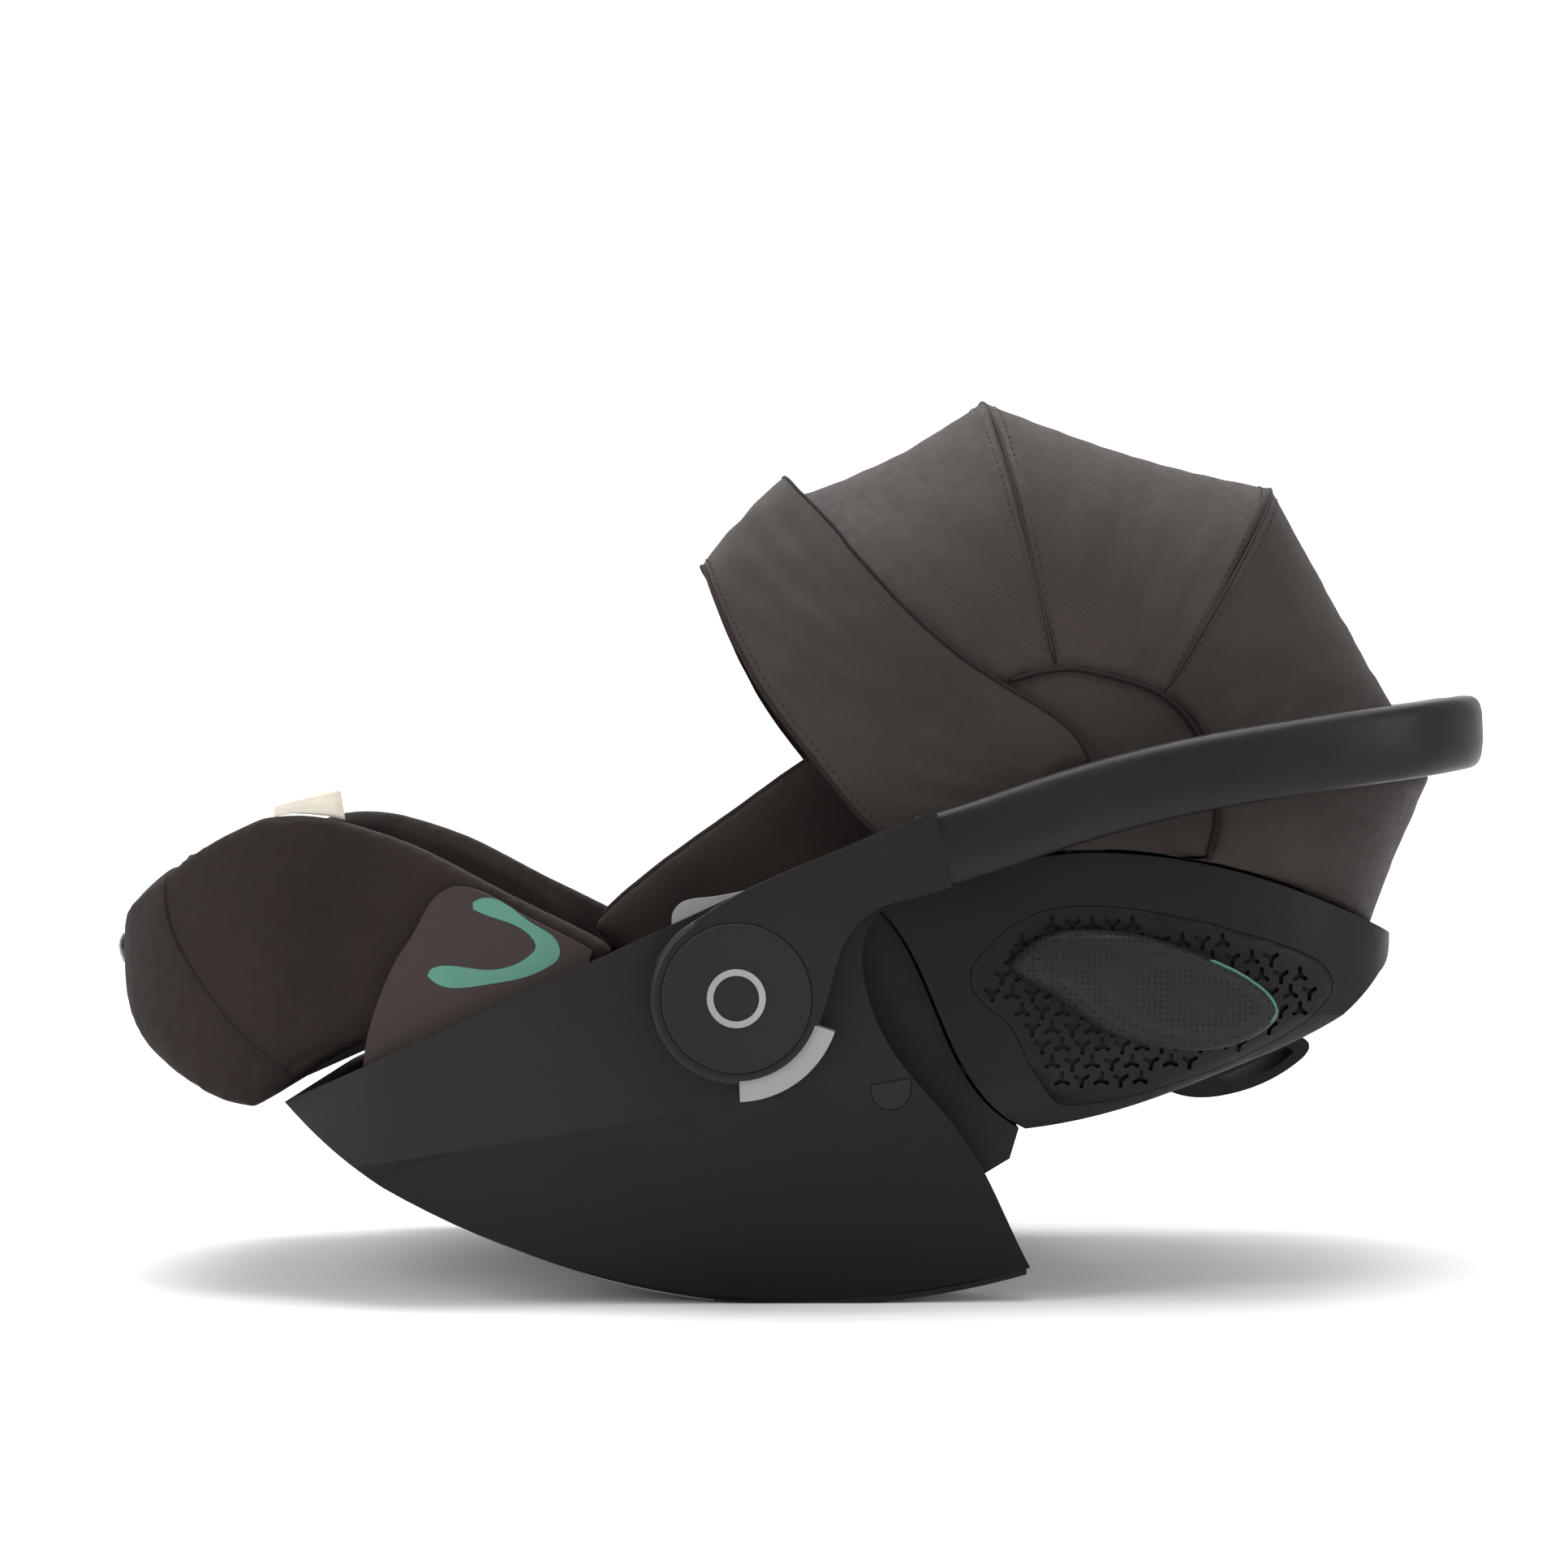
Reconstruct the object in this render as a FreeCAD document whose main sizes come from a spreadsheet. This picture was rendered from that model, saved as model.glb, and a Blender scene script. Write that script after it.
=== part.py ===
import FreeCAD, Part

# Lie-flat infant car seat, in its reclined position.
# Frame: +X towards the head end, +Y across the seat, +Z up, millimetres.  The origin lies on the floor,
# under the middle of the seat's length and width.  What turns or bends in side view is drawn in the XZ
# plane and given its width along Y.  The seat is mirror-symmetric about XZ, and "left" is its -Y side.

import math
import os
from FreeCAD import Placement, Rotation, Vector

doc = FreeCAD.newDocument("infant_car_seat")
sheet = doc.addObject("Spreadsheet::Sheet", "sizes")

# ---------------------------------------------------------------- driving dimensions (mm, degrees)
SIZES = [
    ("overall_length", 790.0, "foot loop to handle grip, reclined"),
    ("overall_width", 440.0, "across the two hub badges"),
    ("overall_height", 505.0, "floor to the top of the open canopy"),
    # carry base
    ("base_half", 190.0, "half width of the base's side walls"),
    ("base_wall", 4.0, "moulded wall of the base"),
    ("rocker_radius", 435.0, "rocker curve that meets the floor, as drawn"),
    ("runner_thick", 3.0, "runner under each rocker rib"),
    ("runner_land", 56.0, "flat length of the runner that the seat rests on"),
    ("rib_outer", 152.0, "outer face of a rocker rib, from the middle plane"),
    ("rib_inner", 138.0, "inner face of a rocker rib"),
    ("belly_rise", 22.0, "height of the belly wall above the rocker ribs"),
    ("lower_lean", 17.8, "inward lean of the side wall under its crease, degrees"),
    ("bar_radius", 5.0, "steel bars that a car base grips"),
    ("bar_play", 0.1, "radial play of a bar in its rib"),
    # hub and handle
    ("hub_radius", 46.0, "outer radius of the handle's hub"),
    ("cap_radius", 39.5, "inset disc that closes the hub"),
    ("cap_thick", 6.0, "thickness of that disc"),
    ("cap_proud", 1.6, "cap face outside the hub face"),
    ("badge_radius", 15.5, "ring on the hub cap"),
    ("badge_width", 3.5, "width of the ring"),
    ("badge_thick", 1.6, "thickness of the ring"),
    ("badge_proud", 0.4, "ring outside the cap face"),
    ("axle_radius", 8.0, "hub axle that the handle and the back turn on"),
    ("axle_play", 0.05, "radial running clearance on the axle"),
    ("arm_thick", 22.0, "handle arm, across the seat"),
    ("arm_height", 40.0, "handle arm, in side view"),
    ("hub_gap", 0.6, "side gap between the hub and the base's boss"),
    ("button_thick", 16.0, "handle button, across the seat"),
    ("release_thick", 7.0, "travel release lever, across the seat"),
    # back
    ("back_half", 168.0, "half width of the back shell"),
    ("back_wall", 4.0, "moulded wall of the back shell"),
    ("back_corner", 45.0, "rounding between the back and its sides"),
    ("frame_thick", 5.0, "side plates of the recline frame"),
    ("liner_thick", 6.0, "energy-absorbing foam liner"),
    ("vent_skin", 2.4, "thickness of the vented side panel"),
    ("pod_height", 13.0, "side impact pod, out from its edge"),
    ("pod_open", 4.0, "how far the pod stands open, degrees"),
    ("wing_thick", 22.0, "padded side wing"),
    ("cushion_margin", 56.0, "back cushion's edge inside the back shell's side"),
    ("seat_half", 118.0, "half width of the seat pan and its cushion"),
    ("grip_half", 55.0, "half width of the recline grip"),
    # canopy
    ("hood_half", 177.2, "half width of the canopy's main fabric"),
    ("visor_half", 182.0, "half width of the visor, which lies outside the rest"),
    ("hood_skin", 2.5, "canopy fabric with its lining"),
    ("hood_square", 2.6, "squareness of the canopy bows: 2 is an ellipse"),
    ("bow_thick", 2.2, "canopy bow strip, across the seat at the pivot"),
    ("bow_width", 8.0, "canopy bow strip, in side view"),
    ("bow_drop", 6.5, "canopy bow inside the fabric's outer face, at its top"),
    ("pin_radius", 3.0, "canopy pivot pin"),
    # leg rest
    ("leg_half", 168.0, "half width of the padded leg rest"),
    ("leg_rim", 22.0, "thickness of the leg rest's padded sides"),
    ("board_thick", 6.0, "leg rest board"),
    ("fairing_thick", 8.0, "moulded leg rest fairing"),
    ("stripe_thick", 1.6, "colour stripe let into the fairing"),
    # harness and gaps
    ("belt_width", 26.0, "harness webbing"),
    ("belt_thick", 1.6, "harness webbing"),
    ("belt_apart", 90.0, "distance between the shoulder belts' middles"),
    ("seam_gap", 0.4, "gap round a panel let into another"),
    ("soft_gap", 1.0, "gap beside a padded piece"),
]
for row, (alias, value, note) in enumerate(SIZES, start=1):
    sheet.set(f"A{row}", alias)
    sheet.set(f"B{row}", str(value))
    sheet.set(f"C{row}", note)
    sheet.setAlias(f"B{row}", alias)
doc.recompute()
size = {alias: float(sheet.get(alias)) for alias, value, note in SIZES}

DRAWN_LENGTH = 790.0  # the outlines below are drawn for these two sizes
DRAWN_HEIGHT = 505.0
DRAWN_MIDDLE = 2.4  # drawn x of the middle of the overall length
along = size["overall_length"] / DRAWN_LENGTH
upward = size["overall_height"] / DRAWN_HEIGHT
FAR = 900.0  # longer than anything that is cut with it


def at(x, z, y=0.0):
    """A point drawn in side view, stretched with the overall length and height."""
    return Vector((x - DRAWN_MIDDLE) * along, y, z * upward)


# ---------------------------------------------------------------- places that several pieces share
HUB = at(-25, 170)
CANOPY_PIVOT = at(163, 263)
BACK_LOW = at(131, 79)  # a line under the back shell, along the back
back_direction = (at(297, 146) - BACK_LOW).normalize()
back_normal = Vector(-back_direction.z, 0, back_direction.x)

AXLE_END = 2.0  # how far a hub axle's end stands inside the recline frame
badge_face = size["overall_width"] / 2
cap_face = badge_face - size["badge_proud"]
arm_out = cap_face - size["cap_proud"]
arm_in = arm_out - size["arm_thick"]
recess_floor = cap_face - size["cap_thick"]
boss_face = arm_in - size["hub_gap"]
base_inner = size["base_half"] - size["base_wall"]
shell_inner = size["back_half"] - size["back_wall"]
frame_out = shell_inner - 0.5
frame_in = frame_out - size["frame_thick"]
cushion_half = size["back_half"] - size["cushion_margin"]
liner_inset = size["back_wall"] + size["seam_gap"]
lined_inset = liner_inset + size["liner_thick"]
trough_half = size["leg_half"] - size["leg_rim"]
wing_out = min(trough_half, frame_in - AXLE_END) - size["soft_gap"]
wing_in = wing_out - size["wing_thick"]
fairing_in = size["leg_half"] + 0.5
fairing_out = fairing_in + size["fairing_thick"]

# ---------------------------------------------------------------- drawing helpers


SPLINE_STEP = 8.0  # mm between the points that an offset curve is drawn again through
SHORTEST_EDGE = 0.3
ROCKER_STEPS = 32  # points of a rocker curve that isn't a circle, when length and height stretch unequally
ALIKE = 1e-9


class Outline:
    """A closed outline in side view, drawn edge by edge with (x, z) points."""

    def __init__(self, *start):
        self.first = self.here = start[0] if isinstance(start[0], Vector) else at(*start)
        self.edges = []

    def _add(self, edge, end):
        self.edges.append(edge)
        self.here = end
        return self

    def line(self, *places):
        for place in places:
            end = place if isinstance(place, Vector) else at(*place)
            self._add(Part.LineSegment(self.here, end), end)
        return self

    def curve(self, *places):
        points = [self.here] + [at(*place) for place in places]
        spline = Part.BSplineCurve()
        spline.interpolate(points)
        return self._add(spline, points[-1])

    def arc(self, middle, end):
        stop = at(*end)
        return self._add(Part.Arc(self.here, at(*middle), stop), stop)

    def rocker(self, lift, x):
        """Follows the rocker curve, lifted by lift, from here to drawn x."""
        drawn_here = self.here.x / along + DRAWN_MIDDLE
        count = ROCKER_STEPS if abs(along - upward) > ALIKE else 2
        points = [on_rocker(lift, drawn_here + (x - drawn_here) * k / count) for k in range(1, count + 1)]
        if count == 2:
            return self._add(Part.Arc(self.here, *points), points[-1])
        stretched = Part.BSplineCurve()
        stretched.interpolate([self.here] + points)
        return self._add(stretched, points[-1])

    def geometry(self):
        if (self.here - self.first).Length > 1e-6:
            self._add(Part.LineSegment(self.here, self.first), self.first)
        return self.edges

    def face(self, grow=0.0):
        face = Part.Face(Part.Wire([edge.toShape() for edge in self.geometry()]))
        return plain_face(face.makeOffset2D(grow)) if grow else face


def plain_face(offset):
    """An offset face drawn again with lines, arcs and splines, which a STEP file keeps whole."""
    largest = max(offset.Faces, key=lambda face: face.Area)
    pieces = [edge for edge in largest.OuterWire.OrderedEdges if edge.Length > SHORTEST_EDGE]
    runs = []
    for edge in pieces:
        kind = edge.Curve.TypeId
        count = {"Part::GeomLine": 2, "Part::GeomCircle": 3}.get(kind, round(edge.Length / SPLINE_STEP) + 4)
        runs.append((kind, edge.discretize(Number=count)))
    ends = [runs[1][1][0], runs[1][1][-1]]
    if min(runs[0][1][0].distanceToPoint(end) for end in ends) < min(
        runs[0][1][-1].distanceToPoint(end) for end in ends
    ):
        runs[0][1].reverse()
    here = first = runs[0][1][0]
    edges = []
    for number, (kind, points) in enumerate(runs, start=1):
        if points[0].distanceToPoint(here) > points[-1].distanceToPoint(here):
            points.reverse()
        points[0] = here
        if number == len(runs):
            points[-1] = first
        if kind == "Part::GeomLine":
            piece = Part.LineSegment(points[0], points[-1])
        elif kind == "Part::GeomCircle":
            piece = Part.Arc(*points)
        else:
            piece = Part.BSplineCurve()
            piece.interpolate(points)
        edges.append(piece.toShape())
        here = points[-1]
    return Part.Face(Part.Wire(edges))


ROCKER_MIDDLE = 13.0  # drawn x of the lowest point of the rocker


def on_rocker(lift, x):
    """The point of the rocker curve at drawn x, lifted towards the curve's centre."""
    half_land = size["runner_land"] / 2 / along
    centre_height = math.sqrt(size["rocker_radius"] ** 2 - half_land**2)
    radius = size["rocker_radius"] - lift
    return at(x, centre_height - math.sqrt(radius**2 - (x - ROCKER_MIDDLE) ** 2))


def prism(face, low, high):
    """A face of the side view, carried from y = low to y = high."""
    moved = face.copy()
    moved.translate(Vector(0, low, 0))
    return moved.extrude(Vector(0, high - low, 0))


def mirrored(shape):
    return shape.mirror(Vector(0, 0, 0), Vector(0, 1, 0))


def pair(shape):
    """A piece and its mirror image, as two separate solids."""
    return Part.makeCompound([shape, mirrored(shape)])


def both(shape):
    """A tool that cuts or joins on both sides at once."""
    return shape.fuse(mirrored(shape))


def round_bar(centre, radius, low, high):
    """A cylinder along Y through centre."""
    return Part.makeCylinder(radius, high - low, Vector(centre.x, low, centre.z), Vector(0, 1, 0))


def plan_prism(points):
    """A tall block with a smooth plan: drawn x and half width, from the foot end to the head end."""
    near = [Vector((x - DRAWN_MIDDLE) * along, -half, -FAR) for x, half in points]
    far = [Vector(point.x, -point.y, -FAR) for point in reversed(near)]
    spline_near = Part.BSplineCurve()
    spline_near.interpolate(near)
    spline_far = Part.BSplineCurve()
    spline_far.interpolate(far)
    edges = [spline_near.toShape(), Part.LineSegment(near[-1], far[0]).toShape()]
    edges += [spline_far.toShape(), Part.LineSegment(far[-1], near[0]).toShape()]
    return Part.Face(Part.Wire(edges)).extrude(Vector(0, 0, 2 * FAR))


def single(shape):
    """The one solid of a boolean's result, with its split faces joined."""
    clean = shape.removeSplitter()
    return max(clean.Solids, key=lambda solid: solid.Volume)


# ---------------------------------------------------------------- document helpers
nodes = {}


def node(label, thing):
    thing.Label = label
    nodes[label] = thing
    return thing


def shaped(label, shape):
    """A piece whose form no feature makes: its shape comes from the sheet's values."""
    feature = doc.addObject("Part::Feature", label)
    feature.Shape = shape
    feature.Placement = Placement()
    return node(label, feature)


def slab(label, outline, thickness, y=0.0):
    """A PartDesign body: a side-view sketch padded evenly both ways by the sheet's thickness."""
    body = doc.addObject("PartDesign::Body", label)
    sketch = body.newObject("Sketcher::SketchObject", label + "_sketch")
    plane = [f for f in body.Origin.OriginFeatures if f.Role == "XZ_Plane"][0]
    sketch.AttachmentSupport = [(plane, "")]
    sketch.MapMode = "FlatFace"
    flat = Placement(Vector(), Rotation(Vector(1, 0, 0), -90)).toMatrix()
    for edge in outline.geometry():
        drawn = edge.copy()
        drawn.transform(flat)
        sketch.addGeometry(drawn, False)
    pad = body.newObject("PartDesign::Pad", label + "_pad")
    pad.Profile = sketch
    pad.setExpression("Length", thickness)
    pad.Midplane = True
    body.Placement = Placement(Vector(0, y, 0), Rotation())
    doc.recompute()
    return node(label, body)


def cylinder(label, centre, low, radius, height):
    """A Part cylinder along Y; its radius and height are expressions on the sheet."""
    piece = doc.addObject("Part::Cylinder", label)
    piece.setExpression("Radius", radius)
    piece.setExpression("Height", height)
    piece.Placement = Placement(Vector(centre.x, low, centre.z), Rotation(Vector(1, 0, 0), -90))
    return node(label, piece)


SIDES = (("left", -1), ("right", 1))


def on_side(side, shape):
    """Shapes are built on the +Y side; the left one is the mirror image."""
    return shape if side == "right" else mirrored(shape)


# ---------------------------------------------------------------- carry base
CREASE_FOOT = at(-223, 78.7)
CREASE_HEAD = at(58.5, 125.9)
BELLY = size["runner_thick"] + size["belly_rise"]
BAR_PLACES = {"front": on_rocker(BELLY / 2 + 1, -118), "rear": on_rocker(BELLY / 2 + 1, 96)}
BOSS_RADIUS = 30.0


def lower_wedges(inset):
    """What the leaning lower side walls leave away: a wedge under the crease on each side."""
    run = (CREASE_HEAD - CREASE_FOOT).normalize()
    down = Vector(run.z, 0, -run.x)
    depth = 250.0
    lean = depth * math.tan(math.radians(size["lower_lean"]))
    edge = size["base_half"] - inset
    start = CREASE_FOOT - run * FAR
    corners = [(edge, 0), (edge + 90, 0), (edge + 90, depth), (edge - lean, depth)]
    points = [start + down * drop + Vector(0, y, 0) for y, drop in corners]
    wedge = Part.Face(Part.makePolygon(points + points[:1])).extrude(run * 2 * FAR)
    return both(wedge)


def base_plan(inset):
    half = size["base_half"] - inset
    taper = [(-284, 52), (-262, 30), (-238, 12), (-205, 2.5), (-170, 0)]
    return plan_prism([(x, half - step) for x, step in taper] + [(-80, half), (60, half), (170, half)])


def base_block(inset, face):
    half = size["base_half"] - inset
    block = prism(face, -half, half).common(base_plan(inset))
    return block.cut(lower_wedges(inset))


def base_face():
    outline = Outline(on_rocker(size["runner_thick"], -272))
    outline.rocker(size["runner_thick"], 134)
    outline.curve((121, 46), (106, 77), (80, 113), (60, 137), (44, 172), (42, 196), (52, 215))
    outline.curve((40, 226), (15, 231), (-8, 229), (-24, 224))
    return outline.face()


def base_hollow():
    lift = BELLY + size["base_wall"]
    outline = Outline(on_rocker(lift, -252)).rocker(lift, 142)
    outline.line((190, 60), (190, 320), (-252, 320))
    return outline.face()


def belly_channel():
    """The underside between the ribs, where a car base reaches the lock bars."""
    outline = Outline(on_rocker(-6, -190)).rocker(-6, 138)
    outline.line(on_rocker(BELLY, 145))
    outline.rocker(BELLY, -190)
    return outline.face()


def adapter_face(grow=0.0):
    """Round-ended cover over the stroller adapter's socket, under the crease."""
    outline = Outline(46.5, 122).line((46.5, 119)).arc((57, 108.5), (67.5, 119)).line((67.5, 125.5))
    return outline.face(grow)


SCREW_PLACES = [(on_rocker(BELLY, x), y) for x in (-60, 0, 60) for y in (-70, 70)]


def make_base():
    base = base_block(0, base_face())
    base = base.cut(base_block(size["base_wall"], base_hollow()))
    base = base.cut(prism(belly_channel(), -size["rib_inner"], size["rib_inner"]))
    base = base.fuse(both(round_bar(HUB, BOSS_RADIUS, base_inner, boss_face)))
    base = base.cut(round_bar(HUB, size["axle_radius"], -FAR, FAR))
    bar_seat = size["rib_outer"] - 5
    for place in BAR_PLACES.values():
        base = base.cut(round_bar(place, size["bar_radius"] + size["bar_play"], -bar_seat, bar_seat))
    base = base.cut(both(prism(adapter_face(size["seam_gap"]), base_inner - 12, FAR)))
    for place, y in SCREW_PLACES:
        base = base.cut(Part.makeCylinder(2.2, 20, place + Vector(0, y, -8)))
    return single(base)


def make_runner():
    """One rocker runner, with the flat land that the seat stands on."""
    half_land = size["runner_land"] / 2 / along
    outline = Outline(on_rocker(0, -148)).rocker(0, ROCKER_MIDDLE - half_land)
    outline.line(on_rocker(0, ROCKER_MIDDLE + half_land))
    outline.rocker(0, 132)
    outline.line(on_rocker(size["runner_thick"], 132))
    outline.rocker(size["runner_thick"], -148)
    return prism(outline.face(), size["rib_inner"], size["rib_outer"])


def make_rocker_pad():
    outline = Outline(on_rocker(-1.3, -108)).rocker(-1.3, -38)
    outline.line(on_rocker(0, -38))
    outline.rocker(0, -108)
    return prism(outline.face(), size["rib_inner"] + 3, size["rib_outer"] - 3)


def make_screw(place, y):
    head = Part.makeCylinder(4, 2.4, place + Vector(0, y, -4.4))
    shank = Part.makeCylinder(2, 10, place + Vector(0, y, -2.4))
    return head.fuse(shank)


shaped("base_shell", make_base())
shaped("rocker_runners", pair(make_runner()))
shaped("rocker_pads", pair(make_rocker_pad()))
for end, place in BAR_PLACES.items():
    bar_start = 5.2 - size["rib_outer"]
    cylinder("lock_bar_" + end, place, bar_start, "sizes.bar_radius", "(sizes.rib_outer - 5.2) * 2")
adapter = prism(adapter_face(), base_inner - 4, FAR).common(base_block(0, base_face()))
shaped("adapter_plates", pair(single(adapter)))
shaped("shell_screws", Part.makeCompound([make_screw(place, y) for place, y in SCREW_PLACES]))

axle_in = frame_in - AXLE_END
axle_out = recess_floor - 0.5
for side, sign in SIDES:
    axle = round_bar(HUB, size["axle_radius"], axle_in, axle_out)
    shaped("hub_axle_" + side, on_side(side, axle))

# travel release levers, just inside the base's side walls, by the hub
release_middle = base_inner - 0.5 - size["release_thick"] / 2
for side, sign in SIDES:
    release = Outline(-60, 190).line((-60, 212)).curve((-57, 217.5), (-40, 222), (-15, 226.5), (2, 228))
    release.line((2, 190))
    slab("travel_release_" + side, release, "sizes.release_thick", sign * release_middle)

# ---------------------------------------------------------------- seat


def make_seat_pan():
    """The seat's hard floor on two ribs that stand on the belly."""
    plate = Outline(-172, 142).curve((-150, 136), (-100, 118), (-40, 96), (28, 84))
    plate.line((28, 78)).curve((-40, 90), (-100, 112), (-172, 136))
    pan = prism(plate.face(), -size["seat_half"], size["seat_half"])
    floor = BELLY + size["base_wall"] + size["seam_gap"]
    rib = Outline(on_rocker(floor, -150)).rocker(floor, 20)
    rib.line((20, 82)).curve((-40, 93), (-100, 115), (-150, 133))
    return single(pan.fuse(both(prism(rib.face(), 76, 82))))


shaped("seat_pan", make_seat_pan())
seat = Outline(-172, 144.5).curve((-150, 138.5), (-100, 120.5), (-40, 98.5), (28, 86.5))
seat.curve((34, 96), (26, 106), (-10, 116), (-60, 130), (-110, 146), (-150, 159), (-166, 157), (-172, 144.5))
seat_cushion = prism(seat.face(), -size["seat_half"] + size["soft_gap"], size["seat_half"] - size["soft_gap"])
adjuster_half = size["belt_width"] / 2 - 4
well = Outline(-161.5, 120).line((-161.5, 180), (-146.5, 180), (-146.5, 120))
well_half = adjuster_half + 1.5
shaped("seat_cushion", single(seat_cushion.cut(prism(well.face(), -well_half, well_half))))

# harness: crotch belt, buckle with its button, and the length adjuster on the seat's front edge
crotch = Outline(-69, 134.5).line((-52, 146), (-51, 144.5), (-68, 133))
slab("crotch_strap", crotch, "sizes.belt_width")
buckle = Outline(-50, 147).line((-28, 163)).curve((-24, 164), (-21, 160))
buckle.line((-42, 144)).curve((-46, 142), (-50, 147))
button = Outline(-45.9, 149.4).line((-33.4, 158.5), (-36, 162), (-48.5, 152.9))
slab("buckle_button", button, "sizes.belt_width - 6")
press_room = Outline(-44.4, 146.8).line((-31, 156.6), (-35.8, 163.2), (-49.2, 153.4))
room_half = size["belt_width"] / 2 - 3 + size["seam_gap"]
buckle_half = size["belt_width"] / 2 + 7
buckle_block = prism(buckle.face(), -buckle_half, buckle_half)
shaped("buckle", single(buckle_block.cut(prism(press_room.face(), -room_half, room_half))))
adjuster = Outline(-160, 141.8).line((-148, 141.8), (-148, 165), (-159, 165.5))
slab("adjuster_button", adjuster, "sizes.belt_width - 8")

# ---------------------------------------------------------------- leg rest


def leg_cover_face():
    outline = Outline(-290, 107.5)
    outline.curve((-321, 116.5), (-346, 130), (-366, 146), (-378, 166), (-384, 194))
    outline.curve((-380, 209), (-357, 226), (-330, 244), (-306, 257.5), (-284, 266), (-271, 268.5))
    outline.curve((-249, 267.5), (-227, 262), (-192, 249), (-161, 232.6), (-116.5, 210), (-91, 196))
    outline.line((-93, 187)).curve((-130, 160), (-190, 141), (-226, 140), (-247, 132), (-273, 117))
    return outline.face()


def leg_plan(inset=0.0):
    """The leg rest's plan, rounded at the foot end, all of it inset."""
    half = size["leg_half"] - inset
    rounding = [(-384.6, 0.001), (-382, 0.25), (-371, 0.5), (-350, 0.71), (-318, 0.88), (-280, 0.975)]
    points = [(x + inset, half * share) for x, share in rounding]
    return plan_prism(points + [(-240 + inset, half), (-190, half), (-130, half), (-30, half)])


def board_outline():
    thick = size["board_thick"]
    outline = Outline(-182, 158.1).line((-266, 120.4))
    outline.curve((-300, 124), (-333, 150), (-350, 182)).line((-350 + thick, 184))
    outline.curve((-328, 153.5), (-298, 130), (-268, 126.2)).line((-182, 158.1 + thick))
    return outline


def leg_trough():
    """The hollow that the legs lie in; it opens upwards and towards the seat, whose cushion it clears."""
    outline = Outline(-336, 330).line((-336, 205)).curve((-322, 168), (-295, 146), (-266, 141))
    outline.line((-178, 180), (-178, 160.5), (-222, 140.5), (-222, 90), (-40, 90), (-40, 330))
    return outline.face()


def make_leg_cover():
    cover = prism(leg_cover_face(), -size["leg_half"], size["leg_half"]).common(leg_plan())
    cover = cover.cut(prism(leg_trough(), -trough_half, trough_half).common(leg_plan(size["leg_rim"])))
    room = prism(board_outline().face(size["soft_gap"]), -trough_half, trough_half)
    return single(cover.cut(room.common(leg_plan(size["leg_rim"]))))


def make_leg_board():
    """The board under the legs, let into the underside of the cover."""
    board = prism(board_outline().face(), -trough_half, trough_half)
    return single(board.common(leg_plan(size["leg_rim"] + size["soft_gap"])))


def fairing_face():
    outline = Outline(-226, 127)
    outline.curve((-225, 140), (-216.5, 169.6), (-207.5, 189.2), (-198, 204), (-188, 221), (-178, 227.3))
    outline.curve((-168, 226.3), (-142, 213.2), (-116, 200), (-103, 192.7))
    outline.line((-106, 182), (-180, 146))
    return outline.face()


def stripe_face(grow=0.0):
    """The sideways V of the colour stripe."""
    outline = Outline(-167, 218.9)
    outline.curve((-163, 221), (-133.4, 206.7), (-123.4, 200.1), (-120.3, 193.6), (-123.4, 186.2))
    outline.curve((-137.7, 179.2), (-159.5, 174.8), (-187.9, 176.1), (-191.4, 179.4))
    outline.curve((-189.5, 183), (-183.5, 184.9), (-159.5, 182.7), (-144.3, 185.7), (-135.6, 191.4))
    outline.curve((-133.4, 195.8), (-135.6, 200.1), (-159.5, 211.9), (-167, 215.4))
    return outline.face(grow)


def make_fairing():
    plate = prism(fairing_face(), fairing_in, fairing_out)
    groove = prism(stripe_face(size["seam_gap"] / 2), fairing_out - size["stripe_thick"] - 0.2, FAR)
    return single(plate.cut(groove))


shaped("leg_board", make_leg_board())
shaped("leg_cover", make_leg_cover())
for side, sign in SIDES:
    shaped("leg_fairing_" + side, on_side(side, make_fairing()))
shaped("leg_stripes", pair(prism(stripe_face(), fairing_out - size["stripe_thick"], fairing_out)))
TAG_THICK = 1.0
tag = Outline(-277, 262).line((-275.5, 271), (-240.5, 280), (-238, 258))
tag_side = size["leg_rim"] / 2 - size["leg_half"]
sewn_tag = prism(tag.face(), tag_side - TAG_THICK / 2, tag_side + TAG_THICK / 2)
shaped("front_tag", single(sewn_tag.cut(nodes["leg_cover"].Shape)))
loop = Outline(-385.4, 197.5).curve((-389, 196.5), (-392.4, 187), (-388, 177.5), (-385, 175.5))
loop.line((-384.8, 178)).curve((-387, 180), (-389.6, 187.3), (-388, 193.5), (-385.6, 195))
slab("front_loop", loop, "12 mm")

# ---------------------------------------------------------------- reclining back
BACK_EDGE = [(52, 215), (95, 231.5), (139, 243), (165, 245.3), (189, 244.5), (233, 238), (277, 225)]
BACK_EDGE += [(338, 200)]


def back_face(inset):
    outline = Outline(*BACK_EDGE[0]).curve(*BACK_EDGE[1:]).line((341, 199))
    outline.curve((338, 188), (329, 178.5)).curve((297, 151), (242, 124), (186, 105), (131, 95.4))
    outline.curve((103, 120), (85, 155), (52, 215))
    return outline.face(-inset)


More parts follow.
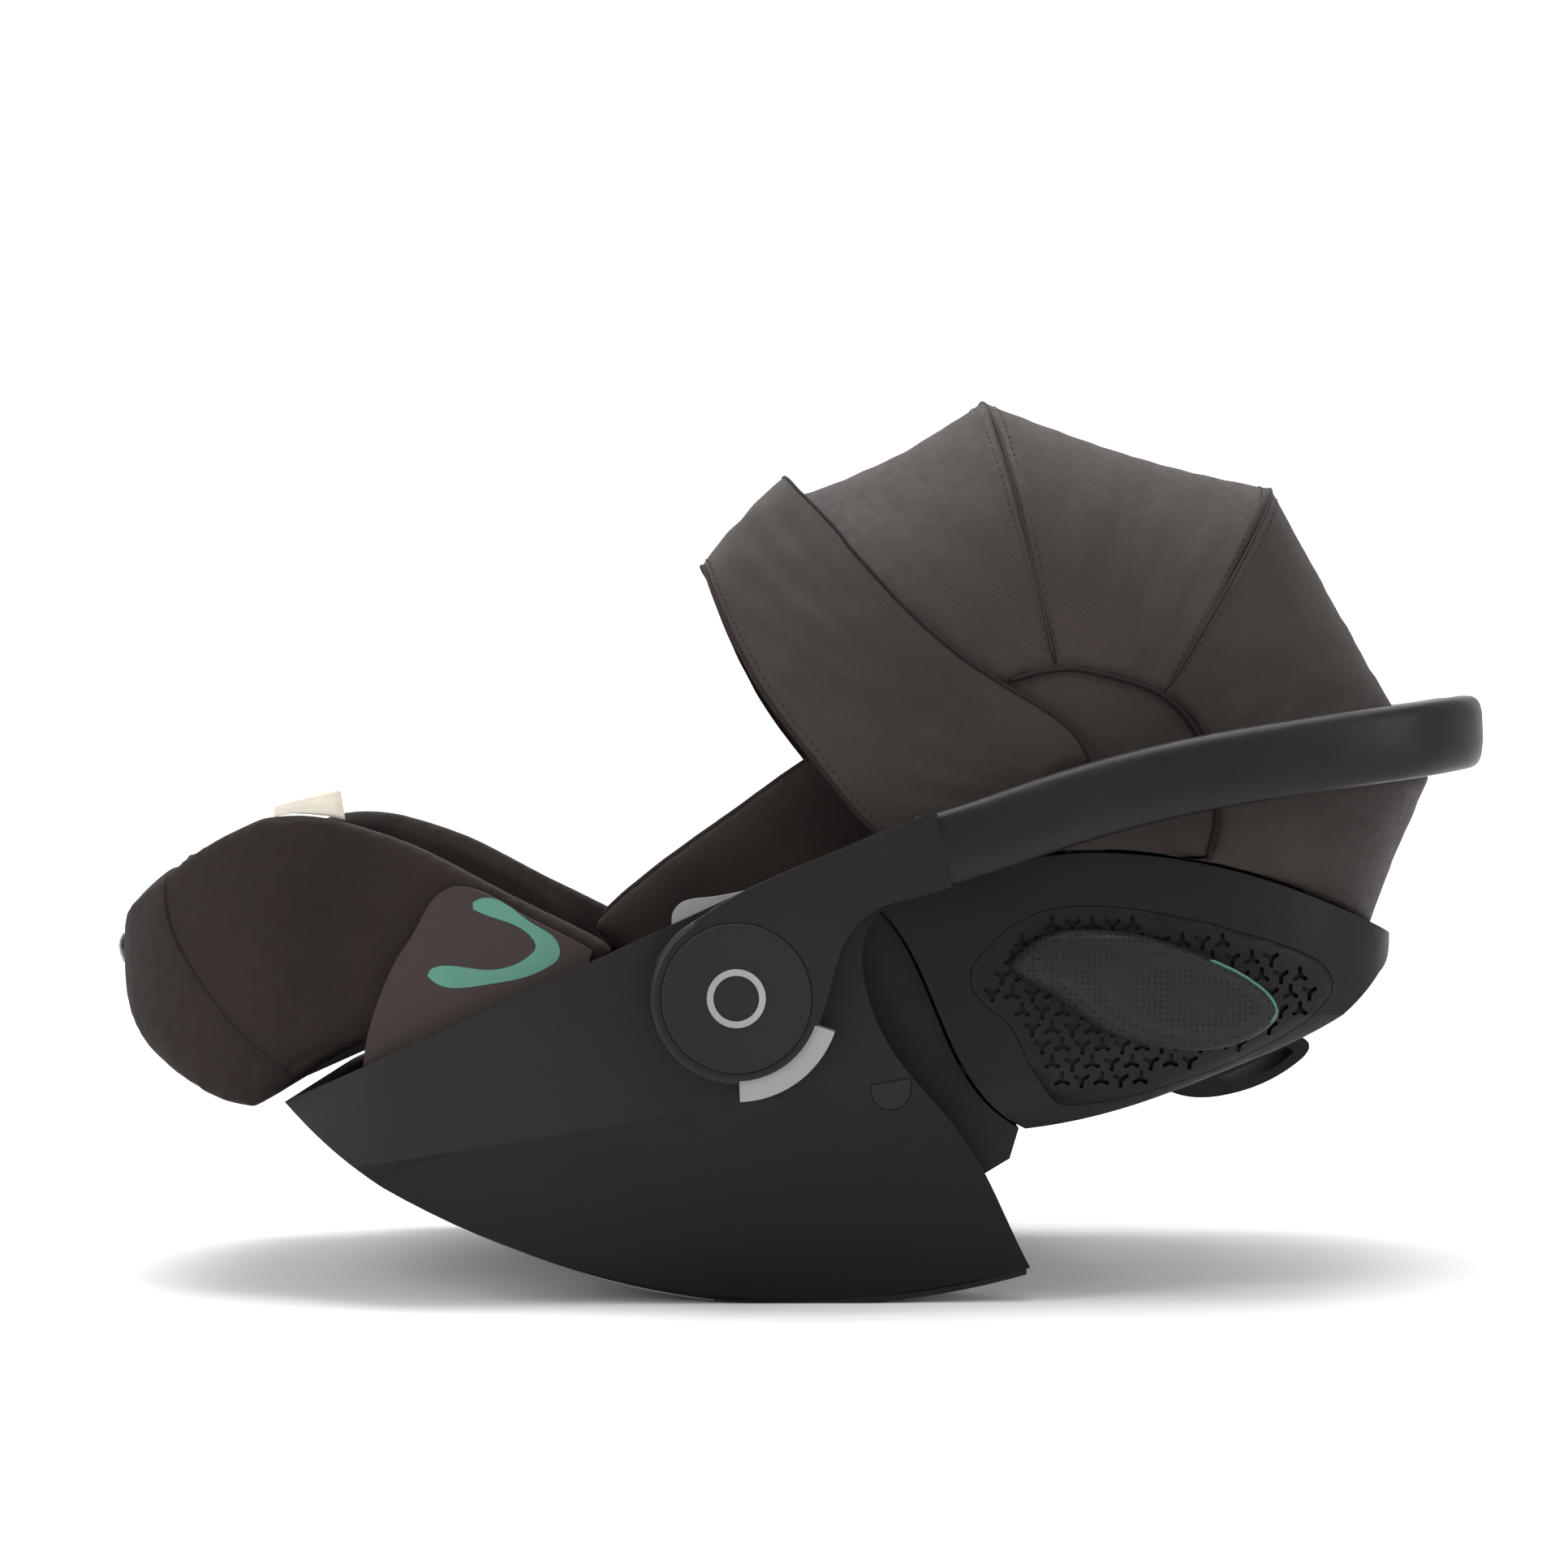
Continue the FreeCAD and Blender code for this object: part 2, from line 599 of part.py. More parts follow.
def back_section(inset):
    """A trough along the back: upright sides and a bottom with rounded corners."""
    half = size["back_half"] - inset
    radius = size["back_corner"] - inset
    bend = radius * (1 - math.sqrt(0.5))
    foot = BACK_LOW + back_normal * inset - back_direction * FAR

    def spot(y, rise):
        return foot + Vector(0, y, 0) + back_normal * rise

    edges = [
        Part.LineSegment(spot(-half, FAR), spot(-half, radius)),
        Part.Arc(spot(-half, radius), spot(bend - half, bend), spot(radius - half, 0)),
        Part.LineSegment(spot(radius - half, 0), spot(half - radius, 0)),
        Part.Arc(spot(half - radius, 0), spot(half - bend, bend), spot(half, radius)),
        Part.LineSegment(spot(half, radius), spot(half, FAR)),
        Part.LineSegment(spot(half, FAR), spot(-half, FAR)),
    ]
    face = Part.Face(Part.Wire([edge.toShape() for edge in edges]))
    return face.extrude(back_direction * 2 * FAR)


def back_plan(inset):
    half = size["back_half"] - inset
    taper = [(255, 3), (300, 18), (328, 44), (341, 82), (346, 125)]
    points = [(-120, half), (0, half), (120, half), (200, half)]
    points += [(x - inset, half - step) for x, step in taper]
    return plan_prism(points + [(347 - inset, 0.2)])


def back_block(inset, opened=False):
    """The back's outer form, all of it inset; opened lets it run out at the top and towards the seat."""
    half = size["back_half"] - inset
    core = prism(back_face(inset), -half, half)
    block = core
    if opened:
        for shift in (Vector(0, 0, 14), Vector(-45, 0, 0), Vector(-45, 0, 14)):
            moved = core.copy()
            moved.translate(shift)
            block = block.fuse(moved)
    return block.common(back_section(inset)).common(back_plan(inset))


def vent_face(grow=0.0):
    outline = Outline(101, 182.4)
    outline.curve((109, 193.3), (124, 206.4), (146, 215.2), (168, 216.5), (198.4, 213.4), (233, 206.4))
    outline.curve((258, 199), (281, 191), (294.5, 182.5), (298, 176), (294.5, 165))
    outline.curve((283.6, 154), (264, 141), (242, 130), (211.5, 119), (181, 111.3), (156, 109))
    outline.curve((148, 110.5), (142, 117), (131, 134.4), (122, 152), (109, 163), (102.3, 171.5), (101, 182.4))
    return outline.face(grow)


def make_vent_panel(skin, grow):
    layer = back_block(0).cut(back_block(skin))
    return single(layer.common(prism(vent_face(grow), 20, FAR)))


LUG = Outline(152, 206).line((152, 262)).arc((163, 274), (174, 262)).line((174, 206))
LUG_OUT = shell_inner - 1.6
LUG_IN = LUG_OUT - 4.8


def make_back_shell():
    shell = back_block(0).cut(back_block(size["back_wall"], opened=True))
    recess = make_vent_panel(size["vent_skin"] + 0.2, size["seam_gap"])
    return single(shell.cut(recess).cut(mirrored(recess)))


def make_liner():
    liner = back_block(liner_inset).cut(back_block(lined_inset, opened=True))
    lug_room = prism(LUG.face(size["seam_gap"]), LUG_IN - 3, LUG_OUT + 5)
    return single(liner.cut(both(lug_room)))


def make_recline_frame():
    """Two side plates on the hub axles, joined by a tray under the neck of the shell."""
    plate = Outline(-13, 186).line((38, 210.5), (51, 213.5)).curve((83.5, 154), (101.5, 119), (127, 96.5))
    plate.line((122, 80), (107, 71), (60, 95), (20, 150), (-14, 152))
    side_plate = prism(plate.face(), frame_in, frame_out)
    side_plate = side_plate.fuse(round_bar(HUB, 20, frame_in, frame_out))
    tray = Outline(40, 122.5).line((60, 95), (107, 71), (122, 80), (127, 96.5))
    tray.line((121.5, 97.5), (117, 84), (107, 77), (63.5, 99.5), (44, 126))
    frame = both(side_plate).fuse(prism(tray.face(), -frame_in, frame_in))
    return single(frame.cut(round_bar(HUB, size["axle_radius"] + size["axle_play"], -FAR, FAR)))


shaped("recline_frame", make_recline_frame())
shaped("back_shell", make_back_shell())
vent_panel = make_vent_panel(size["vent_skin"], 0)
for side, sign in SIDES:
    shaped("vent_panel_" + side, on_side(side, vent_panel))
shaped("foam_liner", make_liner())

cushion = Outline(52, 131).curve((60, 117), (78, 108), (98, 108), (114, 114), (137, 117.5), (160, 118))
cushion.curve((190, 123), (242, 141), (290, 166.5), (309, 187)).line((306, 207.2), (110, 128))
cushion.curve((86, 122), (66, 128), (52, 131))
slab("back_cushion", cushion, "(sizes.back_half - sizes.cushion_margin) * 2")


def make_wing():
    outline = Outline(-108, 205)
    outline.curve((-80, 232), (-51, 254), (-20, 276), (8, 296), (40, 312), (75, 319), (120, 314))
    outline.curve((180, 295), (236, 264), (276, 238), (293, 222)).line((292, 187))
    outline.curve((242, 157), (186, 138), (131, 128), (90, 125), (40, 134), (-30, 155), (-90, 186))
    wing = prism(outline.face(), wing_in, wing_out)
    inset = lined_inset + size["soft_gap"]
    return single(wing.common(back_section(inset)).common(back_plan(inset)))


for side, sign in SIDES:
    shaped("side_wing_" + side, on_side(side, make_wing()))

# shoulder belts, from the back cushion to the buckle
BELT_LIFT = 2.5


def on_back(run, lift):
    """A point above the back cushion: run along the back, lift off its face."""
    return at(110, 128) + back_direction * run + back_normal * lift


belt = Outline(-12, 165).line((20, 153), (60, 141), on_back(0, BELT_LIFT), on_back(32, BELT_LIFT))
belt.line(on_back(32, BELT_LIFT + size["belt_thick"]), on_back(0, BELT_LIFT + size["belt_thick"]))
belt.line((60.5, 142.6), (20.5, 154.6), (-11.5, 166.6))
belt_near = (size["belt_apart"] - size["belt_width"]) / 2
shaped("shoulder_belts", pair(prism(belt.face(), belt_near, belt_near + size["belt_width"])))

# headrest: a hard shell that slides on the back cushion, and its pad with two side bolsters
HEAD_START = 85.0
HEAD_LENGTH = 100.0
head_half = cushion_half - 2


def head_outline(low, high, trim=0.0):
    start, stop = HEAD_START + trim, HEAD_START + HEAD_LENGTH - trim
    outline = Outline(on_back(start, low)).line(on_back(stop, low), on_back(stop, high))
    return outline.line(on_back(start, high))


slab("headrest_shell", head_outline(1.5, 4.5), "(sizes.back_half - sizes.cushion_margin - 2) * 2")


def make_headrest_pad():
    pad = prism(head_outline(5.5, 66, 2).face(), -head_half, head_half)
    hollow = prism(head_outline(18, 90, -5).face(), -(head_half - 26), head_half - 26)
    return single(pad.cut(hollow))


shaped("headrest_pad", make_headrest_pad())

# recline grip under the head end
grip_outer = Outline(222, 106).line((222, 112)).curve((250, 122.5), (280, 136.5), (294, 138.5))
grip_outer.curve((300.5, 134), (295, 124)).curve((276, 112), (253, 104.5), (236, 103), (222, 106))
grip_inner = Outline(249, 114.5).curve((262, 120), (288, 132)).line((292, 129.5))
grip_inner.curve((281, 120.5), (262, 112.5), (252, 111)).line((249, 114.5))
grip = prism(grip_outer.face().cut(grip_inner.face()), -size["grip_half"], size["grip_half"])
shaped("recline_grip", single(grip))
grip_tab = Outline(287, 138.9).line((288, 142.5), (294, 143.5), (295, 139.2))
slab("grip_tab", grip_tab, "12 mm")

# ---------------------------------------------------------------- side impact pods
POD_POINTS = [(123, 188), (146, 203), (168, 204.5), (198, 200), (225, 191), (250, 179), (265.5, 160)]
POD_POINTS += [(252, 147), (212, 140), (170, 151), (138, 172)]
DOME_TURNS = (0, 16, 32, 48, 62, 74, 83)  # degrees up the pod's rounded profile
pod_base = size["back_half"] + 2.5
pod_hinge = at(123, 188, pod_base)


def pod_wire(share, y, opened=0.0):
    """The pod's outline, drawn smaller about its middle, at y, and turned open about its hinge."""
    middle = at(193, 173)
    swing = Rotation(Vector(0, 0, 1), opened)
    points = []
    for x, z in POD_POINTS:
        flat = middle + (at(x, z) - middle) * share + Vector(0, y, 0)
        points.append(pod_hinge + swing.multVec(flat - pod_hinge))
    spline = Part.BSplineCurve()
    spline.interpolate(Points=points, PeriodicFlag=True)
    return Part.Wire([spline.toShape()])


def make_pod():
    rise = size["pod_height"]
    opened = size["pod_open"]
    wires = []
    for turn in DOME_TURNS:
        share = math.cos(math.radians(turn)) ** 0.7
        wires.append(pod_wire(share, pod_base + rise * math.sin(math.radians(turn)), opened))
    dome = Part.makeLoft(wires, True)
    inward = Rotation(Vector(0, 0, 1), opened).multVec(Vector(0, rise * 0.45 + 1, 0))
    hollow = Part.Face(pod_wire(0.88, pod_base - 1, opened)).extrude(inward)
    return single(dome.cut(hollow))


def make_plinth():
    """The raised seat that the pod closes over, on the shell's surface."""
    block = Part.Face(pod_wire(0.83, 100)).extrude(Vector(0, size["back_half"] + 4.2 - 100, 0))
    return single(block.cut(back_block(-0.4)))


for side, sign in SIDES:
    shaped("side_pod_" + side, on_side(side, make_pod()))
    shaped("pod_plinth_" + side, on_side(side, make_plinth()))

# ---------------------------------------------------------------- canopy
# Every bow lies in a plane through the canopy's pivot line and is a superellipse in it.  The fabric
# between two bows runs straight from bow to bow, less a sag.
REAR_BOW, TOP_BOW, VISOR_BOW = 58.3, 101.4, 131.0
HOOD_STEPS = 14


def bow_point(angle, turn, half, reach):
    """A point of a bow: turn 0 and 180 are its two ends on the pivot line, 90 is its top."""
    power = 2 / size["hood_square"]
    across = math.cos(math.radians(turn))
    out = reach * math.sin(math.radians(turn)) ** power
    side = math.copysign(half * abs(across) ** power, across)
    tilt = math.radians(angle)
    return CANOPY_PIVOT + Vector(out * math.cos(tilt) * along, side, out * math.sin(tilt) * upward)


def bow_curve(angle, half, reach, low):
    """The bow from one side to the other, cut short where it comes within low of the pivot line."""
    start = math.degrees(math.asin((low / reach) ** (size["hood_square"] / 2)))
    step = (180 - 2 * start) / HOOD_STEPS
    turns = [start + step * count for count in range(HOOD_STEPS + 1)]
    spline = Part.BSplineCurve()
    spline.interpolate([bow_point(angle, min(turn, 180.0), half, reach) for turn in turns])
    return spline


def bow_strip(angle, half, reach, low, thick, thick_top):
    """A flat closed strip along a bow."""
    outer = bow_curve(angle, half, reach, low)
    inner = bow_curve(angle, half - thick, reach - thick_top, low)
    ends = [
        Part.LineSegment(outer.EndPoint, inner.EndPoint),
        Part.LineSegment(inner.StartPoint, outer.StartPoint),
    ]
    return Part.Wire([outer.toShape(), ends[0].toShape(), inner.toShape(), ends[1].toShape()])


def sagged(low_angle, low_reach, high_angle, high_reach, sag):
    """Reach of fabric stretched between two bows, as a function of the angle."""
    spread = math.radians(high_angle - low_angle)

    def reach(angle):
        past = math.radians(angle - low_angle)
        share = past / spread
        taut = low_reach * high_reach * math.sin(spread)
        taut /= low_reach * math.sin(past) + high_reach * math.sin(spread - past)
        return taut - 4 * sag * share * (1 - share)

    return reach


def fabric(angles, reach, half, low):
    skin = size["hood_skin"]
    wires = [bow_strip(angle, half, reach(angle), low, skin, skin) for angle in angles]
    return Part.makeLoft(wires, True, False)


def above_back(gap):
    outline = Outline(BACK_EDGE[0][0], BACK_EDGE[0][1] + gap)
    outline.curve(*[(x, z + gap) for x, z in BACK_EDGE[1:]])
    outline.line((430, 198), (430, 700), (52, 700))
    return prism(outline.face(), -FAR, FAR)


def quarter_face(grow=0.0):
    """The rounded side panel about the pivot."""
    outline = Outline(121.6, 338).curve((140, 343), (162, 343.5), (203, 330.5), (225, 305), (233, 268))
    outline.line((228, 241.2)).curve((189, 246.6), (165, 247), (139, 245.4), (95, 234.5), (72, 227.5))
    outline.line((70, 262), (92, 318))
    return outline.face(grow)


BOW_DEPTH = 3.0  # a bow's strip at its top, radially
EYELET_RADIUS = 8.0


def make_bow(angle, half, reach, bore):
    reach -= size["bow_drop"]
    strip = Part.Face(bow_strip(angle, half, reach, 0.01, size["bow_thick"], BOW_DEPTH))
    tilt = math.radians(angle)
    square_on = Vector(-math.sin(tilt) * along, 0, math.cos(tilt) * upward).normalize()
    strip.translate(square_on * (-size["bow_width"] / 2))
    bow = strip.extrude(square_on * size["bow_width"])
    eyelet = round_bar(CANOPY_PIVOT, EYELET_RADIUS, half - size["bow_thick"], half)
    return single(bow.fuse(both(eyelet)).cut(round_bar(CANOPY_PIVOT, bore, -FAR, FAR)))


HOOD_REACH = {"rim": 213.0, "rear": 225.0, "top": 246.5, "front": 243.0, "visor": 257.0}
bow_step = size["bow_thick"] + 0.4
visor_bow_half = shell_inner + 1.2
top_bow_half = visor_bow_half + bow_step
rear_bow_half = top_bow_half + bow_step
running_bore = size["pin_radius"] + size["axle_play"]

skirt_reach = sagged(-24, 187, 7, HOOD_REACH["rim"], 2)
rear_reach = sagged(7, HOOD_REACH["rim"], REAR_BOW, HOOD_REACH["rear"], 1)
mid_reach = sagged(REAR_BOW, HOOD_REACH["rear"], TOP_BOW, HOOD_REACH["top"], 5)
front_reach = sagged(TOP_BOW, HOOD_REACH["top"], 129.5, HOOD_REACH["front"], 5)
SEAM = 0.12  # degrees left free at a bow, each side

skirt = fabric([-24, -8, 7], skirt_reach, size["hood_half"], 60)
rear = fabric([7, 24, 41, REAR_BOW - SEAM], rear_reach, size["hood_half"], 60)
quarter_room = prism(quarter_face(size["seam_gap"]), -FAR, FAR)
shaped("canopy_rear", single(skirt.fuse(rear).common(above_back(1.2)).cut(quarter_room)))
mid_angles = [REAR_BOW + SEAM, 72, 87, TOP_BOW - SEAM]
shaped("canopy_mid", fabric(mid_angles, mid_reach, size["hood_half"], 84))
front_angles = [TOP_BOW + SEAM, 115, 129.5]
shaped("canopy_front", fabric(front_angles, front_reach, size["hood_half"], 88))
quarter_out = rear_bow_half + size["hood_skin"] + 0.2
shaped("canopy_sides", pair(prism(quarter_face(), rear_bow_half + 0.3, quarter_out)))

visor_outline = Outline(-2, 463)
visor_outline.curve((33, 418), (59, 386), (89, 357), (119.5, 335), (141, 322), (156.5, 309), (165, 292))
visor_outline.curve((170, 262), (150, 250), (100, 240), (63, 241.5))
visor_outline.curve((50, 255), (37, 268), (15, 296), (-7, 324), (-25, 355), (-38, 383), (-47, 408))
visor_outline.line((-70, 440), (-40, 490), (-10, 490))
visor_angles = [84, 100, 115, 130, 145, 160, 178, 197]
visor_cloth = fabric(visor_angles, lambda angle: HOOD_REACH["visor"], size["visor_half"], 24)
shaped("visor", single(visor_cloth.common(prism(visor_outline.face(), -FAR, FAR))))

shaped("rear_bow", make_bow(REAR_BOW, rear_bow_half, HOOD_REACH["rear"], size["pin_radius"]))
shaped("top_bow", make_bow(TOP_BOW, top_bow_half, HOOD_REACH["top"], running_bore))
shaped("visor_bow", make_bow(VISOR_BOW, visor_bow_half, HOOD_REACH["front"] - 2, running_bore))
pin = round_bar(CANOPY_PIVOT, size["pin_radius"], LUG_IN, rear_bow_half)
shaped("canopy_pivots", pair(single(prism(LUG.face(), LUG_IN, LUG_OUT).fuse(pin))))

# ---------------------------------------------------------------- carry handle
BUTTON_FROM, BUTTON_TO = -88.0, -19.0
BUTTON_LOW, BUTTON_HIGH = 43.6, 54.6
ARM_START = 74.0
ARM_SHY = 1.6  # the arm is this much thinner than the hub that it grows out of
ARM_STATIONS = [  # drawn x, drawn z, distance of the arm's middle inside the hub's
    (100, 253, 0),
    (143, 267.5, 0),
    (186, 280, 0),
    (229, 289.5, 2),
    (268, 296, 6),
    (302, 301, 13),
    (332, 305, 25),
    (356, 308.5, 46),
    (373, 311, 76),
    (381, 312, 118),
    (384.5, 312.5, 165),
]
arm_middle = (arm_in + arm_out) / 2


def arm_section(point, direction, thick, tall):
    """A rounded-rectangle section square to the arm's direction."""
    across = direction.cross(Vector(0, 0, 1)).normalize()
    up = across.cross(direction).normalize()
    power = 2 / 3.2
    points = []
    for count in range(20):
        turn = 2 * math.pi * count / 20
        side = math.copysign(abs(math.cos(turn)) ** power, math.cos(turn)) * thick / 2
        rise = math.copysign(abs(math.sin(turn)) ** power, math.sin(turn)) * tall / 2
        points.append(point + across * side + up * rise)
    spline = Part.BSplineCurve()
    spline.interpolate(Points=points, PeriodicFlag=True)
    return Part.Wire([spline.toShape()])


def make_arm_and_grip():
    half = [at(x, z, -(arm_middle - inward)) for x, z, inward in ARM_STATIONS]
    path = [at(ARM_START, 246, -arm_middle)] + half + [at(385.5, 313)]
    path += [Vector(p.x, -p.y, p.z) for p in reversed(path[:-1])]
    sections = []
    for before, point, after in zip([path[0]] + path, path, path[1:] + [path[-1]]):
        direction = (after - before).normalize()
        sections.append(arm_section(point, direction, size["arm_thick"] - ARM_SHY, size["arm_height"]))
    return Part.makeLoft(sections, True, False)


def make_arm_root():
    outline = Outline(-47, 210)
    outline.curve((-22, 225.5), (14, 241.5), (46, 255), (80, 268)).line((88, 228.5))
    outline.curve((65, 222), (46, 215), (34, 203), (27, 186), (19, 158)).line((0, 150), (-30, 150))
    return prism(outline.face(), arm_in, arm_out)


def sector(low, high, from_angle, to_angle, inner, outer):
    """A curved block about the hub axis."""
    ring = round_bar(HUB, high, inner, outer).cut(round_bar(HUB, low, inner, outer))
    reach = 3 * high
    corners = [Vector(HUB.x, inner, HUB.z)]
    for share in (0, 0.25, 0.5, 0.75, 1):
        angle = math.radians(from_angle + (to_angle - from_angle) * share)
        corners.append(corners[0] + Vector(reach * math.cos(angle), 0, reach * math.sin(angle)))
    fan = Part.Face(Part.makePolygon(corners + corners[:1])).extrude(Vector(0, outer - inner, 0))
    return ring.common(fan)


def make_handle():
    hub = round_bar(HUB, size["hub_radius"], arm_in, arm_out)
    rim = [edge for edge in hub.Edges if edge.Length > 100 and edge.CenterOfMass.y > arm_out - 1]
    hub = hub.makeFillet(4, rim)
    end = hub.fuse(make_arm_root())
    end = end.cut(round_bar(HUB, size["cap_radius"] + size["seam_gap"], recess_floor, FAR))
    end = end.cut(round_bar(HUB, size["axle_radius"] + size["axle_play"], 0, FAR))
    gap = size["seam_gap"]
    room = sector(BUTTON_LOW - gap, BUTTON_HIGH + 6, BUTTON_FROM - 1, BUTTON_TO + 1, arm_in - 1, arm_out + 1)
    end = end.cut(room)
    return single(make_arm_and_grip().fuse(both(end)))


def make_cap():
    cap = round_bar(HUB, size["cap_radius"], recess_floor + 0.1, cap_face)
    rim = [edge for edge in cap.Edges if edge.Length > 100 and edge.CenterOfMass.y > cap_face - 1]
    cap = cap.makeFillet(1.2, rim)
    return cap.cut(badge_ring(size["seam_gap"] / 2))


def badge_ring(gap=0.0):
    low = badge_face - size["badge_thick"] - gap
    high = badge_face + gap
    outer = round_bar(HUB, size["badge_radius"] + gap, low, high)
    return outer.cut(round_bar(HUB, size["badge_radius"] - size["badge_width"] - gap, low, high))


shaped("carry_handle", make_handle())
button_out = arm_out - 2
button_in = button_out - size["button_thick"]
for side, sign in SIDES:
    shaped("hub_cap_" + side, on_side(side, make_cap()))
    press = sector(BUTTON_LOW, BUTTON_HIGH, BUTTON_FROM, BUTTON_TO, button_in, button_out)
    shaped("handle_button_" + side, on_side(side, press))
shaped("hub_badges", pair(badge_ring()))

# ---------------------------------------------------------------- check and write
doc.recompute()
for thing in doc.Objects:
    if "Invalid" in thing.State or "Error" in thing.State:
        raise RuntimeError(f"{thing.Label} failed to recompute")
os.makedirs("parts", exist_ok=True)
for label, thing in nodes.items():
    if thing.Shape.isNull() or not thing.Shape.isValid() or not thing.Shape.Solids:
        raise RuntimeError(f"{label} has no valid solid")
    thing.Shape.exportStep(f"parts/{label}.step")
print(len(nodes), "nodes written")
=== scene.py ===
import math

import bmesh
import bpy
import numpy as np
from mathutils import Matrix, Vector
from mathutils.bvhtree import BVHTree


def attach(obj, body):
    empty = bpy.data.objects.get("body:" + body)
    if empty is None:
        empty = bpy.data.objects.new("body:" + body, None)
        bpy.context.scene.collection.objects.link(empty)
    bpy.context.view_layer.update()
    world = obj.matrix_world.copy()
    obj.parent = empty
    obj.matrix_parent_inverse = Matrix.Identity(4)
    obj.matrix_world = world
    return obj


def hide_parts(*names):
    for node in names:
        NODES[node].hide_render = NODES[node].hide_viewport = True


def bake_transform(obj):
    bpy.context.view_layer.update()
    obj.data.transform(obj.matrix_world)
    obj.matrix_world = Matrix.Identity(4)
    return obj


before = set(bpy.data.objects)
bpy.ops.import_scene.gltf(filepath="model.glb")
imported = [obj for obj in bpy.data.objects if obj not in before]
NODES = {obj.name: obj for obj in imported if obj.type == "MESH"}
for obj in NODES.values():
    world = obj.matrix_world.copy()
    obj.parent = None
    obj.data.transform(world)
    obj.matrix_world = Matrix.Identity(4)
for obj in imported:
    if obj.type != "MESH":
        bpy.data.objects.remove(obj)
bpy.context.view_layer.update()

# Outlines are written in millimetres of the side view, as the part's own drawing is: x from the foot
# end and z from the floor.  The row's origin is under drawn x = 2.4.
MIDDLE = 2.4
PIVOT = (163.0, 263.0)
SQUARE = 2.6  # squareness of the canopy bows: 2 is an ellipse
HOOD_HALF, VISOR_HALF = 177.2, 182.0
REAR_BOW, TOP_BOW = 58.3, 101.4
SIDES = (("left", -1), ("right", 1))


def at(x, z, y=0.0):
    return Vector(((x - MIDDLE) / 1000, y / 1000, z / 1000))


# ---------------------------------------------------------------- camera, light and floor
scene = bpy.context.scene
camera_data = bpy.data.cameras.new("camera")
camera_data.lens = 78.0
camera_data.sensor_width = 36.0
camera = bpy.data.objects.new("camera", camera_data)
camera.location = (-MIDDLE / 1000, -2.0, 0.2825)
camera.rotation_euler = (math.radians(90), 0, 0)
scene.collection.objects.link(camera)
scene.camera = camera

scene.view_settings.view_transform = "Standard"
world = bpy.data.worlds.new("studio")
world.use_nodes = True
world.node_tree.nodes["Background"].inputs["Color"].default_value = (1, 1, 1, 1)
world.node_tree.nodes["Background"].inputs["Strength"].default_value = 0.62
scene.world = world


def lamp(name, place, target, size, watts):
    data = bpy.data.lights.new(name, "AREA")
    data.shape = "RECTANGLE"
    data.size, data.size_y = size
    data.energy = watts
    thing = bpy.data.objects.new(name, data)
    thing.location = place
    thing.rotation_euler = (Vector(target) - Vector(place)).to_track_quat("-Z", "Y").to_euler()
    scene.collection.objects.link(thing)


lamp("top_softbox", (-0.1, -0.2, 2.0), (0, 0, 0.2), (1.8, 1.4), 42)
lamp("front_left", (-1.7, -1.2, 1.1), (0, 0, 0.3), (0.8, 1.2), 24)
lamp("front_right", (1.7, -1.2, 0.9), (0, 0, 0.25), (0.8, 1.2), 12)
lamp("back_wash", (0.0, 0.9, 2.2), (0, 2.2, 0.3), (2.4, 0.8), 45)

# ---------------------------------------------------------------- materials


class Shader:
    """A Principled material with its nodes made in code."""

    def __init__(self, name, **values):
        self.material = bpy.data.materials.new(name)
        self.material.use_nodes = True
        self.tree = self.material.node_tree
        self.bsdf = self.tree.nodes["Principled BSDF"]
        self.bsdf.inputs["Specular IOR Level"].default_value = 0.2
        for socket, value in values.items():
            self.bsdf.inputs[socket.replace("_", " ")].default_value = value
        self.place = self.add("ShaderNodeTexCoord").outputs["Object"]

    def add(self, kind, inputs=(), **settings):
        made = self.tree.nodes.new(kind)
        for key, value in settings.items():
            setattr(made, key, value)
        for socket, value in dict(inputs).items():
            if isinstance(value, bpy.types.NodeSocket):
                self.tree.links.new(value, made.inputs[socket])
            else:
                made.inputs[socket].default_value = value
        return made

    def noise(self, scale, detail=2.0, rough=0.5, place=None):
        inputs = {"Vector": place or self.place, "Scale": scale, "Detail": detail, "Roughness": rough}
        return self.add("ShaderNodeTexNoise", inputs).outputs["Fac"]

    def ramp(self, value, low, high, start=0.35, stop=0.65):
        made = self.add("ShaderNodeMapRange", {"Value": value, "From Min": start, "From Max": stop})
        made.inputs["To Min"].default_value = low
        made.inputs["To Max"].default_value = high
        return made.outputs["Result"]

    def mix(self, share, one, other):
        made = self.add("ShaderNodeMix", data_type="RGBA")
        for socket, value in ((0, share), (6, one), (7, other)):
            if isinstance(value, bpy.types.NodeSocket):
                self.tree.links.new(value, made.inputs[socket])
            else:
                made.inputs[socket].default_value = value if socket == 0 else (*value, 1)
        return made.outputs[2]

    def math(self, operation, *values):
        made = self.add("ShaderNodeMath", operation=operation)
        for number, value in enumerate(values):
            if isinstance(value, bpy.types.NodeSocket):
                self.tree.links.new(value, made.inputs[number])
            else:
                made.inputs[number].default_value = value
        return made.outputs[0]

    def set(self, socket, value):
        self.tree.links.new(value, self.bsdf.inputs[socket])
        return self

    def bump(self, height, strength, distance):
        inputs = {"Height": height, "Strength": strength, "Distance": distance}
        return self.set("Normal", self.add("ShaderNodeBump", inputs).outputs["Normal"])


def shade(color, factor):
    return tuple(min(1.0, c * factor) for c in color)


